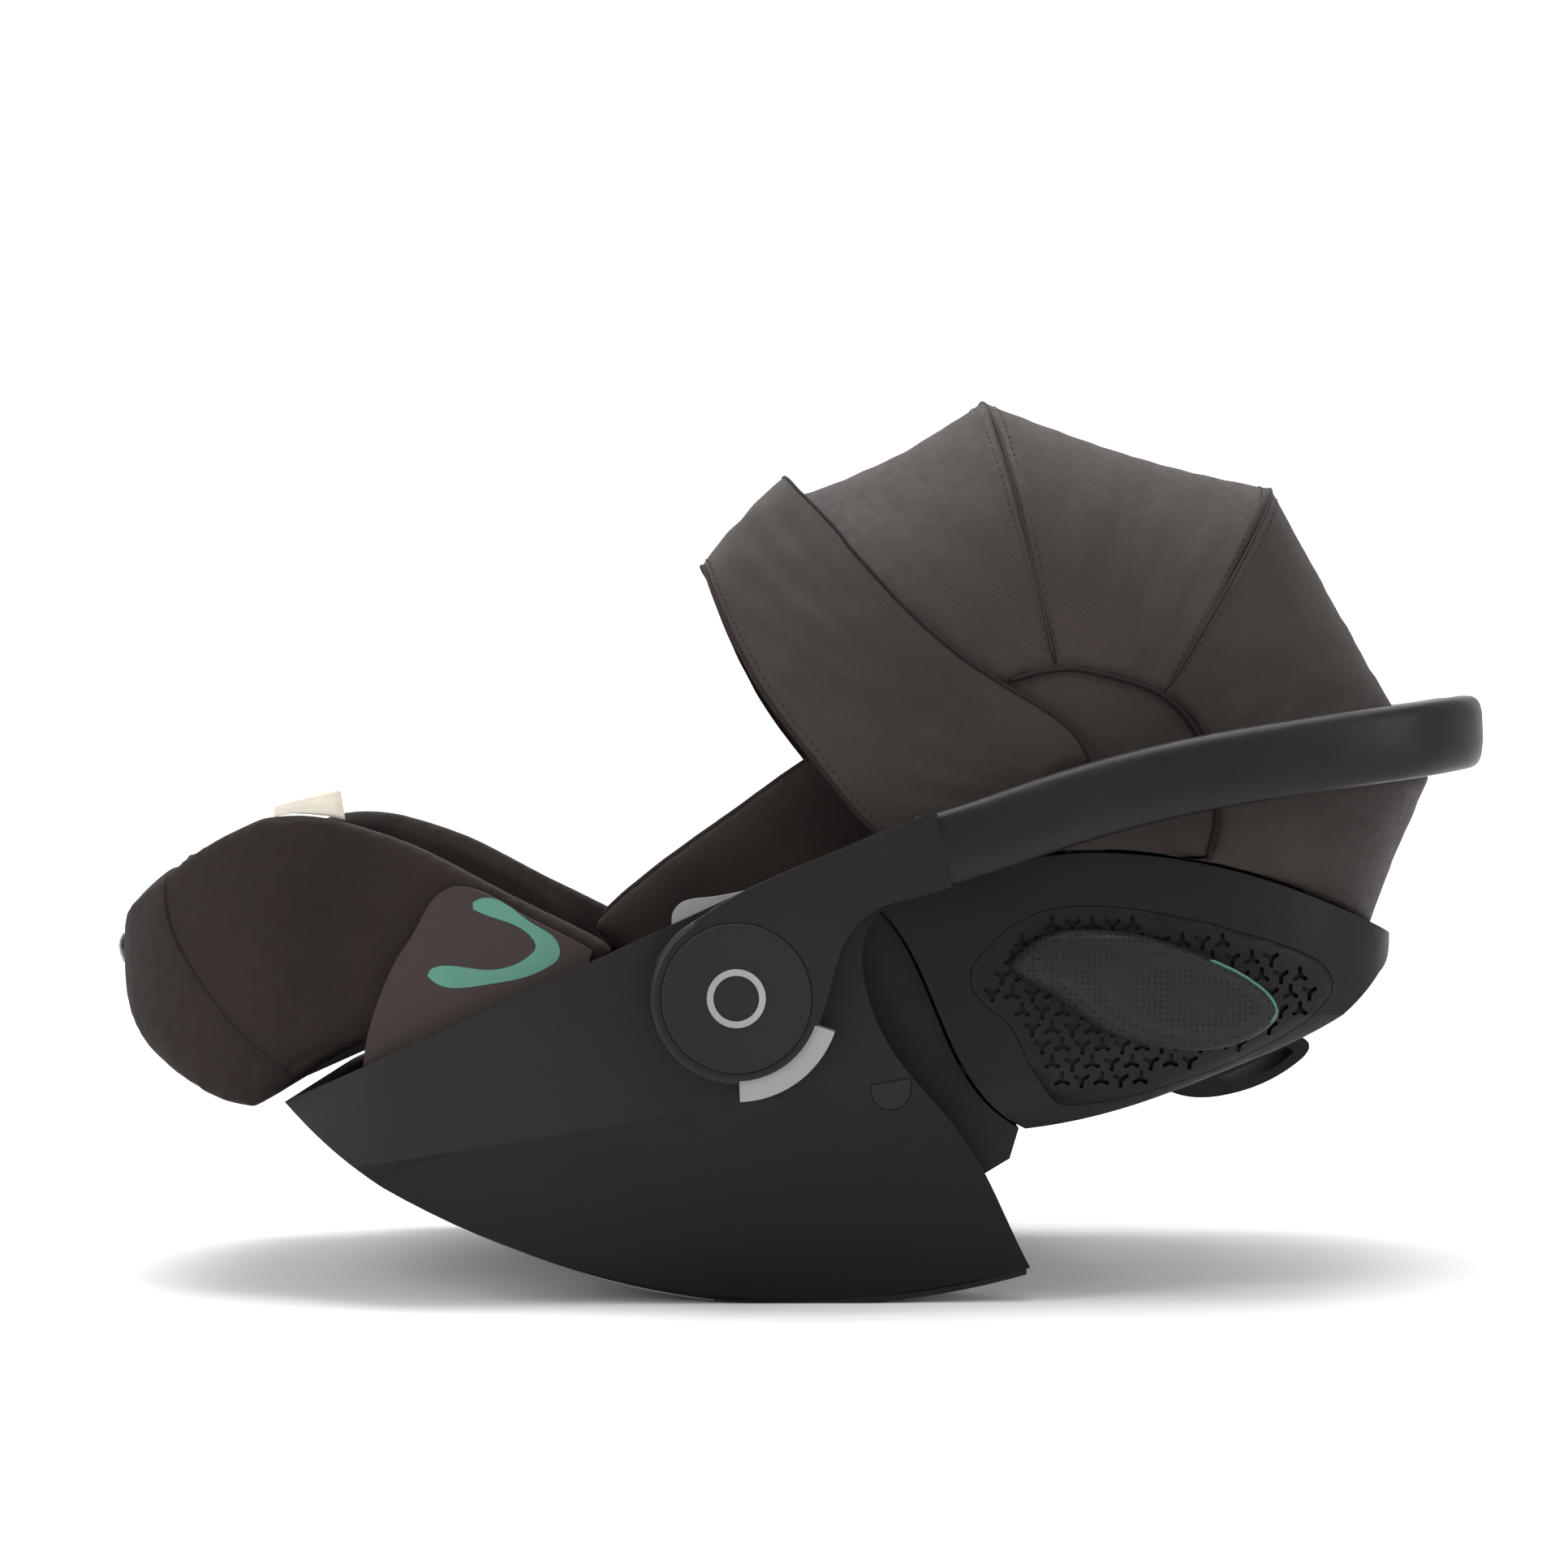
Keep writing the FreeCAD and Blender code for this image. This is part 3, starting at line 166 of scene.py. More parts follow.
def plastic(name, color, rough=0.42, grain=1400.0, depth=0.00012, spread=0.12, coat=0.0):
    """Moulded plastic: fine spark-eroded grain, slightly uneven gloss and faint colour drift."""
    made = Shader(name, Coat_Weight=coat, Coat_Roughness=0.25)
    drift = made.ramp(made.noise(9.0, 4.0), 0.0, 1.0)
    made.set("Base Color", made.mix(drift, shade(color, 1 - spread), shade(color, 1 + spread)))
    made.set("Roughness", made.ramp(made.noise(35.0, 5.0, 0.6), rough - 0.05, rough + 0.07))
    made.bump(made.noise(grain, 2.0), 0.35, depth)
    return made.material


def woven(name, color, light, period=1.3, depth=0.00025, sheen=0.35, rough=0.85, drift_scale=14.0):
    """Woven cloth: crossing threads in any direction, worn lighter in patches."""
    made = Shader(name, Sheen_Weight=sheen, Sheen_Roughness=0.45)
    made.bsdf.inputs["Sheen Tint"].default_value = (*shade(light, 2.2), 1)
    scale = 314.0 / period
    threads = []
    for axis in "XYZ":
        inputs = {"Vector": made.place, "Scale": scale, "Distortion": 0.6, "Detail": 1.0, "Detail Scale": 1.5}
        band = made.add("ShaderNodeTexWave", inputs, wave_type="BANDS", bands_direction=axis)
        threads.append(band.outputs["Fac"])
    weave = made.math("ADD", made.math("ADD", threads[0], threads[1]), threads[2])
    weave = made.math("MULTIPLY", weave, 0.34)
    slub = made.noise(160.0, 4.0, 0.65)
    drift = made.ramp(made.noise(drift_scale, 3.0), 0.0, 0.55)
    share = made.math("ADD", drift, made.math("MULTIPLY", made.ramp(slub, 0.0, 1.0), 0.3))
    share = made.math("ADD", share, made.math("MULTIPLY", weave, 0.25))
    made.set("Base Color", made.mix(share, color, light))
    made.set("Roughness", made.ramp(slub, rough - 0.08, rough + 0.06))
    made.bump(made.math("ADD", weave, made.math("MULTIPLY", slub, 0.6)), 0.6, depth)
    return made.material


def webbing(name, color, light, period=2.0):
    """Narrow belt cloth with ribs along it."""
    return woven(name, color, light, period=period, depth=0.0004, sheen=0.2, rough=0.7)


def two_tone_shaded(name, upper, lower, slope, rise, rough):
    """The base's plastic: the zone above the crease has a finer finish than the one under it; the lower
    zone's colour is darker, partly its own tone and partly painted shade.
    """
    made = Shader(name)
    parts = made.add("ShaderNodeSeparateXYZ", {"Vector": made.place})
    line = made.math("MULTIPLY_ADD", parts.outputs["X"], slope, rise)
    above = made.math("SUBTRACT", parts.outputs["Z"], line)
    side = made.ramp(above, 0.0, 1.0, -0.0006, 0.0006)
    drift = made.ramp(made.noise(8.0, 4.0), 0.85, 1.15)
    tone = made.mix(side, lower, upper)
    tinted = made.add("ShaderNodeVectorMath", {0: tone}, operation="SCALE")
    made.tree.links.new(drift, tinted.inputs["Scale"])
    made.set("Base Color", tinted.outputs[0])
    drift = made.ramp(made.noise(30.0, 5.0), -0.05, 0.05)
    gloss = made.math("ADD", drift, made.ramp(side, rough - 0.08, rough + 0.06, 0, 1))
    made.set("Roughness", gloss)
    made.bump(made.noise(1500.0, 2.0), 0.35, 0.00012)
    return made.material


def honeycomb(name, color, cell_shade_color, cell=3.2):
    """Plastic with a fine pattern of sunk cells, painted darker in their middles as shade."""
    made = Shader(name)
    cells = made.add("ShaderNodeTexVoronoi", {"Vector": made.place, "Scale": 1000 / cell, "Randomness": 0.15})
    hole = made.ramp(cells.outputs["Distance"], 0.0, 1.0, 0.2, 0.42)
    made.set("Base Color", made.mix(hole, cell_shade_color, color))
    made.set("Roughness", made.ramp(made.noise(40.0, 4.0), 0.42, 0.58))
    made.bump(hole, 0.7, 0.0004)
    return made.material


def steel(name):
    made = Shader(name, Metallic=1.0)
    sockets = {"Vector": made.place, "Scale": (60.0, 900.0, 900.0)}
    stretched = made.add("ShaderNodeMapping", sockets).outputs[0]
    streak = made.noise(1.0, 4.0, 0.6, stretched)
    made.set("Base Color", made.mix(made.ramp(streak, 0.0, 1.0), (0.46, 0.47, 0.49), (0.66, 0.67, 0.69)))
    made.set("Roughness", made.ramp(streak, 0.26, 0.42))
    made.bump(streak, 0.2, 0.00008)
    return made.material


def foam(name):
    made = Shader(name)
    cells = made.add("ShaderNodeTexVoronoi", {"Vector": made.place, "Scale": 260.0})
    # the sunk middles of the cells are painted darker as shade
    made.set("Base Color", made.mix(cells.outputs["Distance"], (0.03, 0.03, 0.03), (0.09, 0.09, 0.09)))
    made.set("Roughness", made.ramp(cells.outputs["Distance"], 0.75, 0.95, 0, 1))
    made.bump(cells.outputs["Distance"], 0.6, 0.0006)
    return made.material


# the lower colour is partly the base's own darker tone and partly painted shade on its lower side
BASE = two_tone_shaded("base_plastic", (0.0078, 0.0079, 0.0083), (0.0012, 0.0012, 0.0013), 0.1677, 0.1164, 0.46)
SHELL = plastic("shell_plastic", (0.0042, 0.0042, 0.0045), rough=0.5)
HANDLE = plastic("handle_plastic", (0.0072, 0.0073, 0.0078), rough=0.4)
RUBBERY = plastic("soft_touch_plastic", (0.0092, 0.0092, 0.0098), rough=0.62, grain=900, depth=0.0002)
GREY = plastic("grey_plastic", (0.23, 0.23, 0.235), rough=0.4)
FAIRING = plastic("fairing_plastic", (0.029, 0.0205, 0.0185), rough=0.58, grain=900, depth=0.0002)
MINT = plastic("mint_trim", (0.066, 0.176, 0.135), rough=0.5, grain=900)
RED = plastic("red_button", (0.36, 0.02, 0.015), rough=0.3, coat=0.3)
RUBBER = plastic("runner_rubber", (0.006, 0.006, 0.006), rough=0.72, grain=700, depth=0.0003)
# the second colour is painted shade in the pods' sunk cells
POD = honeycomb("pod_plastic", (0.0125, 0.0125, 0.013), (0.004, 0.004, 0.004))
STEEL = steel("steel")
FOAM = foam("foam")
SEAT_CLOTH = woven("seat_fabric", (0.0066, 0.0038, 0.0030), (0.0170, 0.0104, 0.0084), sheen=0.05)
HOOD_TONES = (0.0165, 0.0112, 0.0096), (0.029, 0.0212, 0.0187)
HOOD_CLOTH = woven("canopy_fabric", *HOOD_TONES, period=1.0, sheen=0.12, rough=0.66)
PIPING = woven("piping_fabric", (0.005, 0.0032, 0.0027), (0.013, 0.0088, 0.0074), period=0.9, sheen=0.05)
BELT = webbing("belt_webbing", (0.005, 0.005, 0.0055), (0.017, 0.017, 0.018))
TAG = webbing("tag_fabric", (0.62, 0.57, 0.47), (0.78, 0.74, 0.65), 0.8)
LOOP = webbing("loop_webbing", (0.18, 0.23, 0.27), (0.38, 0.45, 0.50), 1.2)
THREAD = woven("thread", (0.014, 0.0098, 0.0084), (0.032, 0.024, 0.021), period=0.6, sheen=0.05)

CAD_MATERIALS = {
    BASE: ["base_shell"],
    SHELL: ["seat_pan", "leg_board", "recline_frame", "back_shell", "headrest_shell", "rear_bow", "top_bow"],
    RUBBER: ["rocker_runners"],
    GREY: ["rocker_pads", "travel_release_left", "travel_release_right", "hub_badges", "adjuster_button"],
    STEEL: ["lock_bar_front", "lock_bar_rear", "shell_screws", "hub_axle_left", "hub_axle_right"],
    HANDLE: ["carry_handle", "adapter_plates", "buckle"],
    RUBBERY: ["hub_cap_left", "hub_cap_right"],
    FAIRING: ["leg_fairing_left", "leg_fairing_right"],
    MINT: ["leg_stripes", "grip_tab", "pod_plinth_left", "pod_plinth_right"],
    RED: ["buckle_button"],
    POD: ["side_pod_left", "side_pod_right"],
    FOAM: ["foam_liner"],
}
CAD_MATERIALS[SHELL] += ["visor_bow", "canopy_pivots", "recline_grip"]
CAD_MATERIALS[GREY] += ["handle_button_left", "handle_button_right"]
for material, names in CAD_MATERIALS.items():
    for name in names:
        NODES[name].data.materials.clear()
        NODES[name].data.materials.append(material)

# ---------------------------------------------------------------- mesh helpers


def link(name, mesh, material):
    thing = bpy.data.objects.new(name, mesh)
    scene.collection.objects.link(thing)
    mesh.materials.append(material)
    for polygon in mesh.polygons:
        polygon.use_smooth = True
    return thing


def apply_modifiers(thing):
    graph = bpy.context.evaluated_depsgraph_get()
    graph.update()
    mesh = bpy.data.meshes.new_from_object(thing.evaluated_get(graph))
    old = thing.data
    thing.modifiers.clear()
    thing.data = mesh
    bpy.data.meshes.remove(old)
    return thing


def grid(name, rows, material, closed_u=False, closed_v=False):
    """A mesh from rows of points."""
    count, width = len(rows), len(rows[0])
    points = [tuple(point) for row in rows for point in row]
    faces = []
    for i in range(count if closed_u else count - 1):
        for j in range(width if closed_v else width - 1):
            a, b = i * width + j, i * width + (j + 1) % width
            c, d = ((i + 1) % count) * width + (j + 1) % width, ((i + 1) % count) * width + j
            faces.append((a, b, c, d))
    mesh = bpy.data.meshes.new(name)
    mesh.from_pydata(points, [], faces)
    return link(name, mesh, material)


def smooth_path(points, step=4.0, closed=False):
    """Points of a smooth curve through the given ones, about step millimetres apart."""
    points = [np.array(p, float) for p in points]
    count = len(points)
    found = []
    for i in range(count if closed else count - 1):
        p1, p2 = points[i], points[(i + 1) % count]
        p0 = points[(i - 1) % count] if closed or i else 2 * p1 - p2
        p3 = points[(i + 2) % count] if closed or i + 2 < count else 2 * p2 - p1
        parts = max(2, int(np.linalg.norm(p2 - p1) / step))
        for k in range(parts):
            t = k / parts
            bend = (2 * p0 - 5 * p1 + 4 * p2 - p3) * t * t + (3 * p1 - p0 - 3 * p2 + p3) * t**3
            found.append(0.5 * (2 * p1 + (p2 - p0) * t + bend))
    if not closed:
        found.append(points[-1])
    return found


def tube(name, path, radius, material, sides=8, flat=1.0):
    """A round or flattened tube along row-frame points, closed at its ends."""
    path = [Vector(p) for p in path]
    rows = []
    up = Vector((0, 0, 1))
    for i, point in enumerate(path):
        along = (path[min(i + 1, len(path) - 1)] - path[max(i - 1, 0)]).normalized()
        side = along.cross(up)
        side = side.normalized() if side.length > 0.2 else along.cross(Vector((0, 1, 0))).normalized()
        lift = side.cross(along).normalized()
        share = 0.35 if i in (0, len(path) - 1) else 1.0
        ring = []
        for k in range(sides):
            turn = 2 * math.pi * k / sides
            out = side * math.cos(turn) + lift * math.sin(turn) * flat
            ring.append(point + out * radius / 1000 * share)
        rows.append(ring)
    thing = grid(name, rows, material, closed_v=True)
    shape = bmesh.new()
    shape.from_mesh(thing.data)
    bmesh.ops.holes_fill(shape, edges=[e for e in shape.edges if e.is_boundary], sides=sides)
    bmesh.ops.recalc_face_normals(shape, faces=shape.faces)
    shape.to_mesh(thing.data)
    shape.free()
    return thing


def joined(name, things):
    """Several meshes as one piece."""
    shape = bmesh.new()
    for thing in things:
        shape.from_mesh(thing.data)
    mesh = bpy.data.meshes.new(name)
    shape.to_mesh(mesh)
    shape.free()
    material = things[0].data.materials[0]
    for thing in things:
        bpy.data.objects.remove(thing)
    return link(name, mesh, material)


def surface(*things):
    """A ray-casting tree of the given meshes."""
    verts, faces = [], []
    for thing in things:
        start = len(verts)
        verts += [thing.matrix_world @ v.co for v in thing.data.vertices]
        faces += [[start + i for i in p.vertices] for p in thing.data.polygons]
    return BVHTree.FromPolygons(verts, faces)


def on_side(tree, x, z, sign, lift):
    """The point that a side view's (x, z) shows on a surface, lifted off it, or None."""
    start = at(x, z, sign * 400)
    hit, normal, _, _ = tree.ray_cast(start, Vector((0, -sign, 0)))
    if hit is None:
        return None
    if normal.y * sign < 0:
        normal = -normal
    return hit + normal * lift / 1000


def side_tube(name, tree, outline, sign, radius, material, lift=0.0, step=4.0):
    found = [on_side(tree, x, z, sign, lift) for x, z in smooth_path(outline, step)]
    return tube(name, [p for p in found if p is not None], radius, material)


def place(thing, body, slot, *nodes):
    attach(thing, body)
    if nodes:
        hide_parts(*nodes)
    return thing


# ---------------------------------------------------------------- padded pieces


def puffed(name, node, material, voxel, shrink, cap, smooth=6):
    """A padded piece: the node's form shrunk, inflated by cloth pressure, and relaxed."""
    thing = bpy.data.objects.new(name, NODES[node].data.copy())
    scene.collection.objects.link(thing)
    thing.data.materials.clear()
    remesh = thing.modifiers.new("remesh", "REMESH")
    remesh.mode = "VOXEL"
    remesh.voxel_size = voxel / 1000
    apply_modifiers(thing)
    for modifier_name, kind in (("shrink", "DISPLACE"), ("round", "SMOOTH")):
        made = thing.modifiers.new(modifier_name, kind)
        if kind == "DISPLACE":
            made.strength = -shrink / 1000
            made.mid_level = 0.0
        else:
            made.iterations = smooth
            made.factor = 0.5
        apply_modifiers(thing)
    inflate(thing, cap)
    soften = thing.modifiers.new("relax", "SMOOTH")
    soften.iterations = 3
    soften.factor = 0.5
    apply_modifiers(thing)
    detail = thing.modifiers.new("detail", "SUBSURF")
    detail.levels = detail.render_levels = 1
    apply_modifiers(thing)
    thing.data.materials.clear()
    thing.data.materials.append(material)
    for polygon in thing.data.polygons:
        polygon.use_smooth = True
        polygon.material_index = 0
    return thing


def inflate(thing, cap):
    start = np.array([v.co for v in thing.data.vertices])
    cloth = thing.modifiers.new("cloth", "CLOTH")
    cloth.settings.quality = 5
    cloth.settings.mass = 0.3
    cloth.settings.tension_stiffness = 12
    cloth.settings.bending_stiffness = 0.6
    cloth.settings.use_pressure = True
    cloth.settings.uniform_pressure_force = 4.0
    cloth.settings.effector_weights.gravity = 0
    cloth.point_cache.frame_start, cloth.point_cache.frame_end = 1, 20
    for number in range(1, 21):
        scene.frame_set(number)
    graph = bpy.context.evaluated_depsgraph_get()
    puffed_mesh = bpy.data.meshes.new_from_object(thing.evaluated_get(graph))
    end = np.array([v.co for v in puffed_mesh.vertices])
    thing.modifiers.clear()
    scene.frame_set(1)
    move = end - start
    length = np.linalg.norm(move, axis=1, keepdims=True)
    move *= np.minimum(1.0, cap / 1000 / np.maximum(length, 1e-9))
    thing.data.vertices.foreach_set("co", (start + move).ravel())
    thing.data.update()
    bpy.data.meshes.remove(puffed_mesh)


LEG = puffed("leg_rest_cover", "leg_cover", SEAT_CLOTH, 4.5, 0.8, 2.5, smooth=2)
place(LEG, "leg_rest", "seat_fabric", "leg_cover")
for side, sign in SIDES:
    wing = puffed("wing_" + side, "side_wing_" + side, SEAT_CLOTH, 4.5, 0.8, 2.5, smooth=2)
    place(wing, "backrest", "seat_fabric", "side_wing_" + side)
    top = [(-104, 207), (-80, 230.5), (-51, 252), (-20, 274), (8, 293.5), (40, 309), (75, 315.5), (120, 311)]
    top += [(180, 292), (236, 261), (274, 236)]
    wing_tree = surface(wing)
    hits = [wing_tree.ray_cast(at(x, 500, sign * 138), Vector((0, 0, -1)))[0] for x, z in smooth_path(top, 5)]
    rim = [hit + Vector((0, 0, 0.0003)) for hit in hits if hit is not None]
    place(tube("wing_piping_" + side, rim, 1.9, PIPING), "backrest", "seat_fabric")
seat_pad = puffed("seat_pad", "seat_cushion", SEAT_CLOTH, 5.0, 2.5, 4.0)
place(seat_pad, "base", "seat_fabric", "seat_cushion")
back_pad = puffed("back_pad", "back_cushion", SEAT_CLOTH, 5.0, 2.0, 3.0)
place(back_pad, "backrest", "seat_fabric", "back_cushion")
head_pad = puffed("head_pad", "headrest_pad", SEAT_CLOTH, 4.0, 2.5, 4.0)
place(head_pad, "headrest", "seat_fabric", "headrest_pad")

# ---------------------------------------------------------------- leg rest trim
leg_tree = surface(LEG)
SEAM = [(-343, 236), (-341, 222), (-338, 206), (-330, 190), (-314, 168), (-292, 144), (-268, 126)]
HEM = [(-276, 124), (-262, 136), (-247, 142), (-229, 144.5)]
for side, sign in SIDES:
    for label, line, radius in (("seam", SEAM, 1.5), ("hem", HEM, 1.0)):
        made = side_tube(f"leg_{label}_{side}", leg_tree, line, sign, radius, PIPING)
        place(made, "leg_rest", "seat_fabric")


def span(low, high, count):
    return [low + (high - low) * k / count for k in range(count + 1)]


def ribbon(name, path, width, thick, middle, material, ribs=6):
    """A flat strap along drawn (x, z) points, with ribs along it and bound edges."""
    path = smooth_path(path, 3)
    rows = []
    for i, point in enumerate(path):
        run = np.array(path[min(i + 1, len(path) - 1)]) - np.array(path[max(i - 1, 0)])
        run /= np.linalg.norm(run)
        normal = np.array([-run[1], run[0]])
        ring = []
        for k in range(ribs * 4 + 1):
            across = k / (ribs * 4)
            rise = thick * (1 + 0.16 * math.cos(2 * math.pi * ribs * across))
            if k in (0, ribs * 4):
                rise *= 0.45
            spot = point + normal * rise
            ring.append(at(spot[0], spot[1], middle + (across - 0.5) * width))
        for k in (ribs * 4, 0):
            ring.append(at(point[0], point[1], middle + (k / (ribs * 4) - 0.5) * width))
        rows.append(ring)
    thing = grid(name, rows, material, closed_v=True)
    shape = bmesh.new()
    shape.from_mesh(thing.data)
    bmesh.ops.holes_fill(shape, edges=[e for e in shape.edges if e.is_boundary], sides=200)
    bmesh.ops.recalc_face_normals(shape, faces=shape.faces)
    shape.to_mesh(thing.data)
    shape.free()
    return thing


def flap(name, low, high, middle, thick, lean, material):
    """A small upright piece of cloth sewn along its lower edge, leaning outwards."""
    rows = []
    for side in (-0.5, 0.5):
        for share in (span(0, 1, 8) if side < 0 else span(1, 0, 8)):
            row = []
            for one, other in zip(low, high):
                spot = np.array(one) * (1 - share) + np.array(other) * share
                row.append(at(spot[0], spot[1], middle - lean * share**2 + side * thick))
            rows.append(row)
    thing = grid(name, rows, material, closed_u=True)
    shape = bmesh.new()
    shape.from_mesh(thing.data)
    bmesh.ops.holes_fill(shape, edges=[e for e in shape.edges if e.is_boundary], sides=200)
    bmesh.ops.recalc_face_normals(shape, faces=shape.faces)
    shape.to_mesh(thing.data)
    shape.free()
    return thing


tag_low = [(-277, 264.5), (-267, 266.5), (-257, 266), (-247, 265), (-238, 263)]
tag_high = [(-276, 270.5), (-267, 273), (-258, 275.5), (-249, 277.8), (-240.5, 279.7)]
tag = flap("leg_tag", tag_low, tag_high, -157, 0.9, 1.5, TAG)
place(tag, "leg_rest", "tag_fabric", "front_tag")
loop_path = [(-384.8, 196), (-388.6, 194.5), (-390.6, 187.2), (-388, 178.6), (-384.8, 176.5)]
place(ribbon("pull_loop", loop_path, 12, 1.5, 0, LOOP, 3), "leg_rest", "loop_webbing", "front_loop")

# harness
BACK_RUN = np.array([0.9273, 0.3743])
BACK_UP = np.array([-0.3743, 0.9273])


def on_back(run, lift):
    return tuple(np.array([110.0, 128.0]) + BACK_RUN * run + BACK_UP * lift)


belt_path = [(-12, 165), (20, 153.2), (60, 141.2), on_back(0, 3.2), on_back(32, 3.2)]
straps = [ribbon("strap", belt_path, 26, 1.6, middle, BELT) for middle in (-45, 45)]
belts = joined("harness_belts", straps)
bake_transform(belts)
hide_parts("shoulder_belts")
crotch = ribbon("crotch_belt", [(-69, 134.5), (-60, 140.4), (-52, 145.9)], 26, 1.3, 0, BELT)
place(crotch, "base", "belt_webbing", "crotch_strap")

# ---------------------------------------------------------------- canopy


def bow_point(angle, turn, half, reach, lift=0.0):
    power = 2 / SQUARE
    across = math.cos(math.radians(turn))
    out = (reach + lift) * max(0.0, math.sin(math.radians(turn))) ** power
    side = math.copysign((half + lift) * abs(across) ** power, across)
    tilt = math.radians(angle)
    return at(PIVOT[0] + out * math.cos(tilt), PIVOT[1] + out * math.sin(tilt), side)


def sagged(low, low_reach, high, high_reach, sag):
    spread = math.radians(high - low)

    def reach(angle):
        past = math.radians(angle - low)
        share = past / spread
        taut = low_reach * high_reach * math.sin(spread)
        taut /= low_reach * math.sin(past) + high_reach * math.sin(spread - past)
        return taut - 4 * sag * share * (1 - share)

    return reach


def turn_at(radius, reach):
    return math.degrees(math.asin(min(1.0, (radius / reach)) ** (SQUARE / 2)))


QUARTER = [(121.6, 338), (140, 343), (162, 343.5), (203, 330.5), (225, 305), (233, 268), (228, 241.2)]
QUARTER_LOW = [(228, 241.2), (189, 246.6), (165, 247), (139, 245.4), (95, 234.5), (72, 227.5)]
QUARTER_FRONT = [(72, 227.5), (70, 262), (92, 318), (121.6, 338)]
quarter_line = smooth_path(QUARTER, 3)[:-1] + smooth_path(QUARTER_LOW, 3)[:-1]
quarter_line += smooth_path(QUARTER_FRONT, 3)[:-1]


def ray_exit(polygon, angle):
    """How far from the pivot a ray leaves a closed outline."""
    best = 0.0
    dx, dz = math.cos(math.radians(angle)), math.sin(math.radians(angle))
    for (x1, z1), (x2, z2) in zip(polygon, polygon[1:] + polygon[:1]):
        ex, ez = x2 - x1, z2 - z1
        det = dx * ez - dz * ex
        if abs(det) < 1e-9:
            continue
        px, pz = x1 - PIVOT[0], z1 - PIVOT[1]
        t = (px * ez - pz * ex) / det
        u = (px * dz - pz * dx) / det
        if t > 0 and -1e-6 <= u <= 1 + 1e-6:
            best = max(best, t)
    return best


BACK_EDGE = [(52, 215), (95, 231.5), (139, 243), (165, 245.3), (189, 244.5), (233, 238), (277, 225)]
BACK_EDGE += [(338, 200)]
edge_line = smooth_path(BACK_EDGE, 3)
EDGE_X = [p[0] for p in edge_line]
EDGE_Z = [p[1] for p in edge_line]


def edge_height(x):
    return float(np.interp(x, EDGE_X, EDGE_Z))


skirt_reach = sagged(-24, 187, 7, 213, 2)
rear_reach = sagged(7, 213, REAR_BOW, 225, 1)
mid_reach = sagged(REAR_BOW, 225, TOP_BOW, 246.5, 5)
front_reach = sagged(TOP_BOW, 246.5, 129.5, 243, 5)


def rear_all(angle):
    return skirt_reach(max(angle, -24)) if angle < 7 else rear_reach(angle)


def wrinkle(angle, turn, depth):
    """A shallow uneven pull of the cloth."""
    broad = math.sin(angle * 0.55 + turn * 0.05) * math.sin(turn * 0.21 + 1.3)
    return depth * (broad + 0.5 * math.sin(angle * 1.3 - turn * 0.11))


COLUMNS = 72


def hood_rows(angles, reach, low, depth):
    rows = []
    for angle in angles:
        start = turn_at(low(angle), reach(angle))
        row = []
        for k in range(COLUMNS + 1):
            turn = start + (180 - 2 * start) * k / COLUMNS
            row.append(bow_point(angle, turn, HOOD_HALF, reach(angle), wrinkle(angle, turn, depth)))
        rows.append(row)
    return rows


def quarter_reach(angle):
    return ray_exit(quarter_line, angle) + 0.8


def outward(thing):
    """Turns a sheet's faces away from the canopy's inside."""
    centre = at(163, 263)
    shape = bmesh.new()
    shape.from_mesh(thing.data)
    total = sum((f.calc_center_median() - centre).dot(f.normal) * f.calc_area() for f in shape.faces)
    if total < 0:
        bmesh.ops.reverse_faces(shape, faces=shape.faces)
    shape.to_mesh(thing.data)
    shape.free()
    return thing


def cloth_panel(name, rows, thick=1.3):
    """A sheet of canopy cloth with its lining's thickness, stretched over its bows."""
    thing = outward(grid(name, rows, HOOD_CLOTH))
    solid = thing.modifiers.new("thick", "SOLIDIFY")
    solid.thickness = thick / 1000
    solid.offset = -1
    apply_modifiers(thing)
    return thing


# the rear panel with its skirt: its lower edge follows the back shell's edge
rear_rows = []
lows = []
for k in range(COLUMNS + 1):
    share = abs(2 * k / COLUMNS - 1)
    lowest = 7.0
    for angle in span(7, -23.9, 124):
        start = turn_at(quarter_reach(angle), rear_all(angle))
        turn = start + (90 - start) * (1 - share)
        reach = rear_all(angle) * math.sin(math.radians(turn)) ** (2 / SQUARE)
        x = PIVOT[0] + reach * math.cos(math.radians(angle))
        z = PIVOT[1] + reach * math.sin(math.radians(angle))
        if z < edge_height(x) + 1.6:
            break
        lowest = angle
    lows.append(lowest)
for step in span(0, 1, 46):
    row = []
    for k in range(COLUMNS + 1):
        angle = lows[k] + (REAR_BOW - 0.15 - lows[k]) * step
        start = turn_at(quarter_reach(angle), rear_all(angle))
        turn = start + (180 - 2 * start) * k / COLUMNS
        fade = math.sin(math.pi * step)
        row.append(bow_point(angle, turn, HOOD_HALF, rear_all(angle), wrinkle(angle, turn, 0.5 * fade)))
    rear_rows.append(row)
rear = cloth_panel("canopy_rear_panel", rear_rows)
place(rear, "backrest", "canopy_fabric", "canopy_rear")
def lower_edge(angle):
    return quarter_reach(angle) - 1.5


mid_rows = hood_rows(span(REAR_BOW + 0.15, TOP_BOW - 0.15, 26), mid_reach, lower_edge, 0.45)
mid = cloth_panel("canopy_mid_panel", mid_rows)
front_rows = hood_rows(span(TOP_BOW + 0.15, 129.4, 18), front_reach, lower_edge, 0.4)
for share in (0.12, 0.35, 0.6, 0.85, 1.0):  # the turned-up hem that closes the gap under the visor
    angle, reach, half = 129.4 + 6.6 * share, 243 + 11.2 * share, HOOD_HALF + 2.6 * share
    start = turn_at(lower_edge(angle), reach)
    turns = [start + (180 - 2 * start) * k / COLUMNS for k in range(COLUMNS + 1)]
    front_rows.append([bow_point(angle, turn, half, reach) for turn in turns])
front = cloth_panel("canopy_front_panel", front_rows)


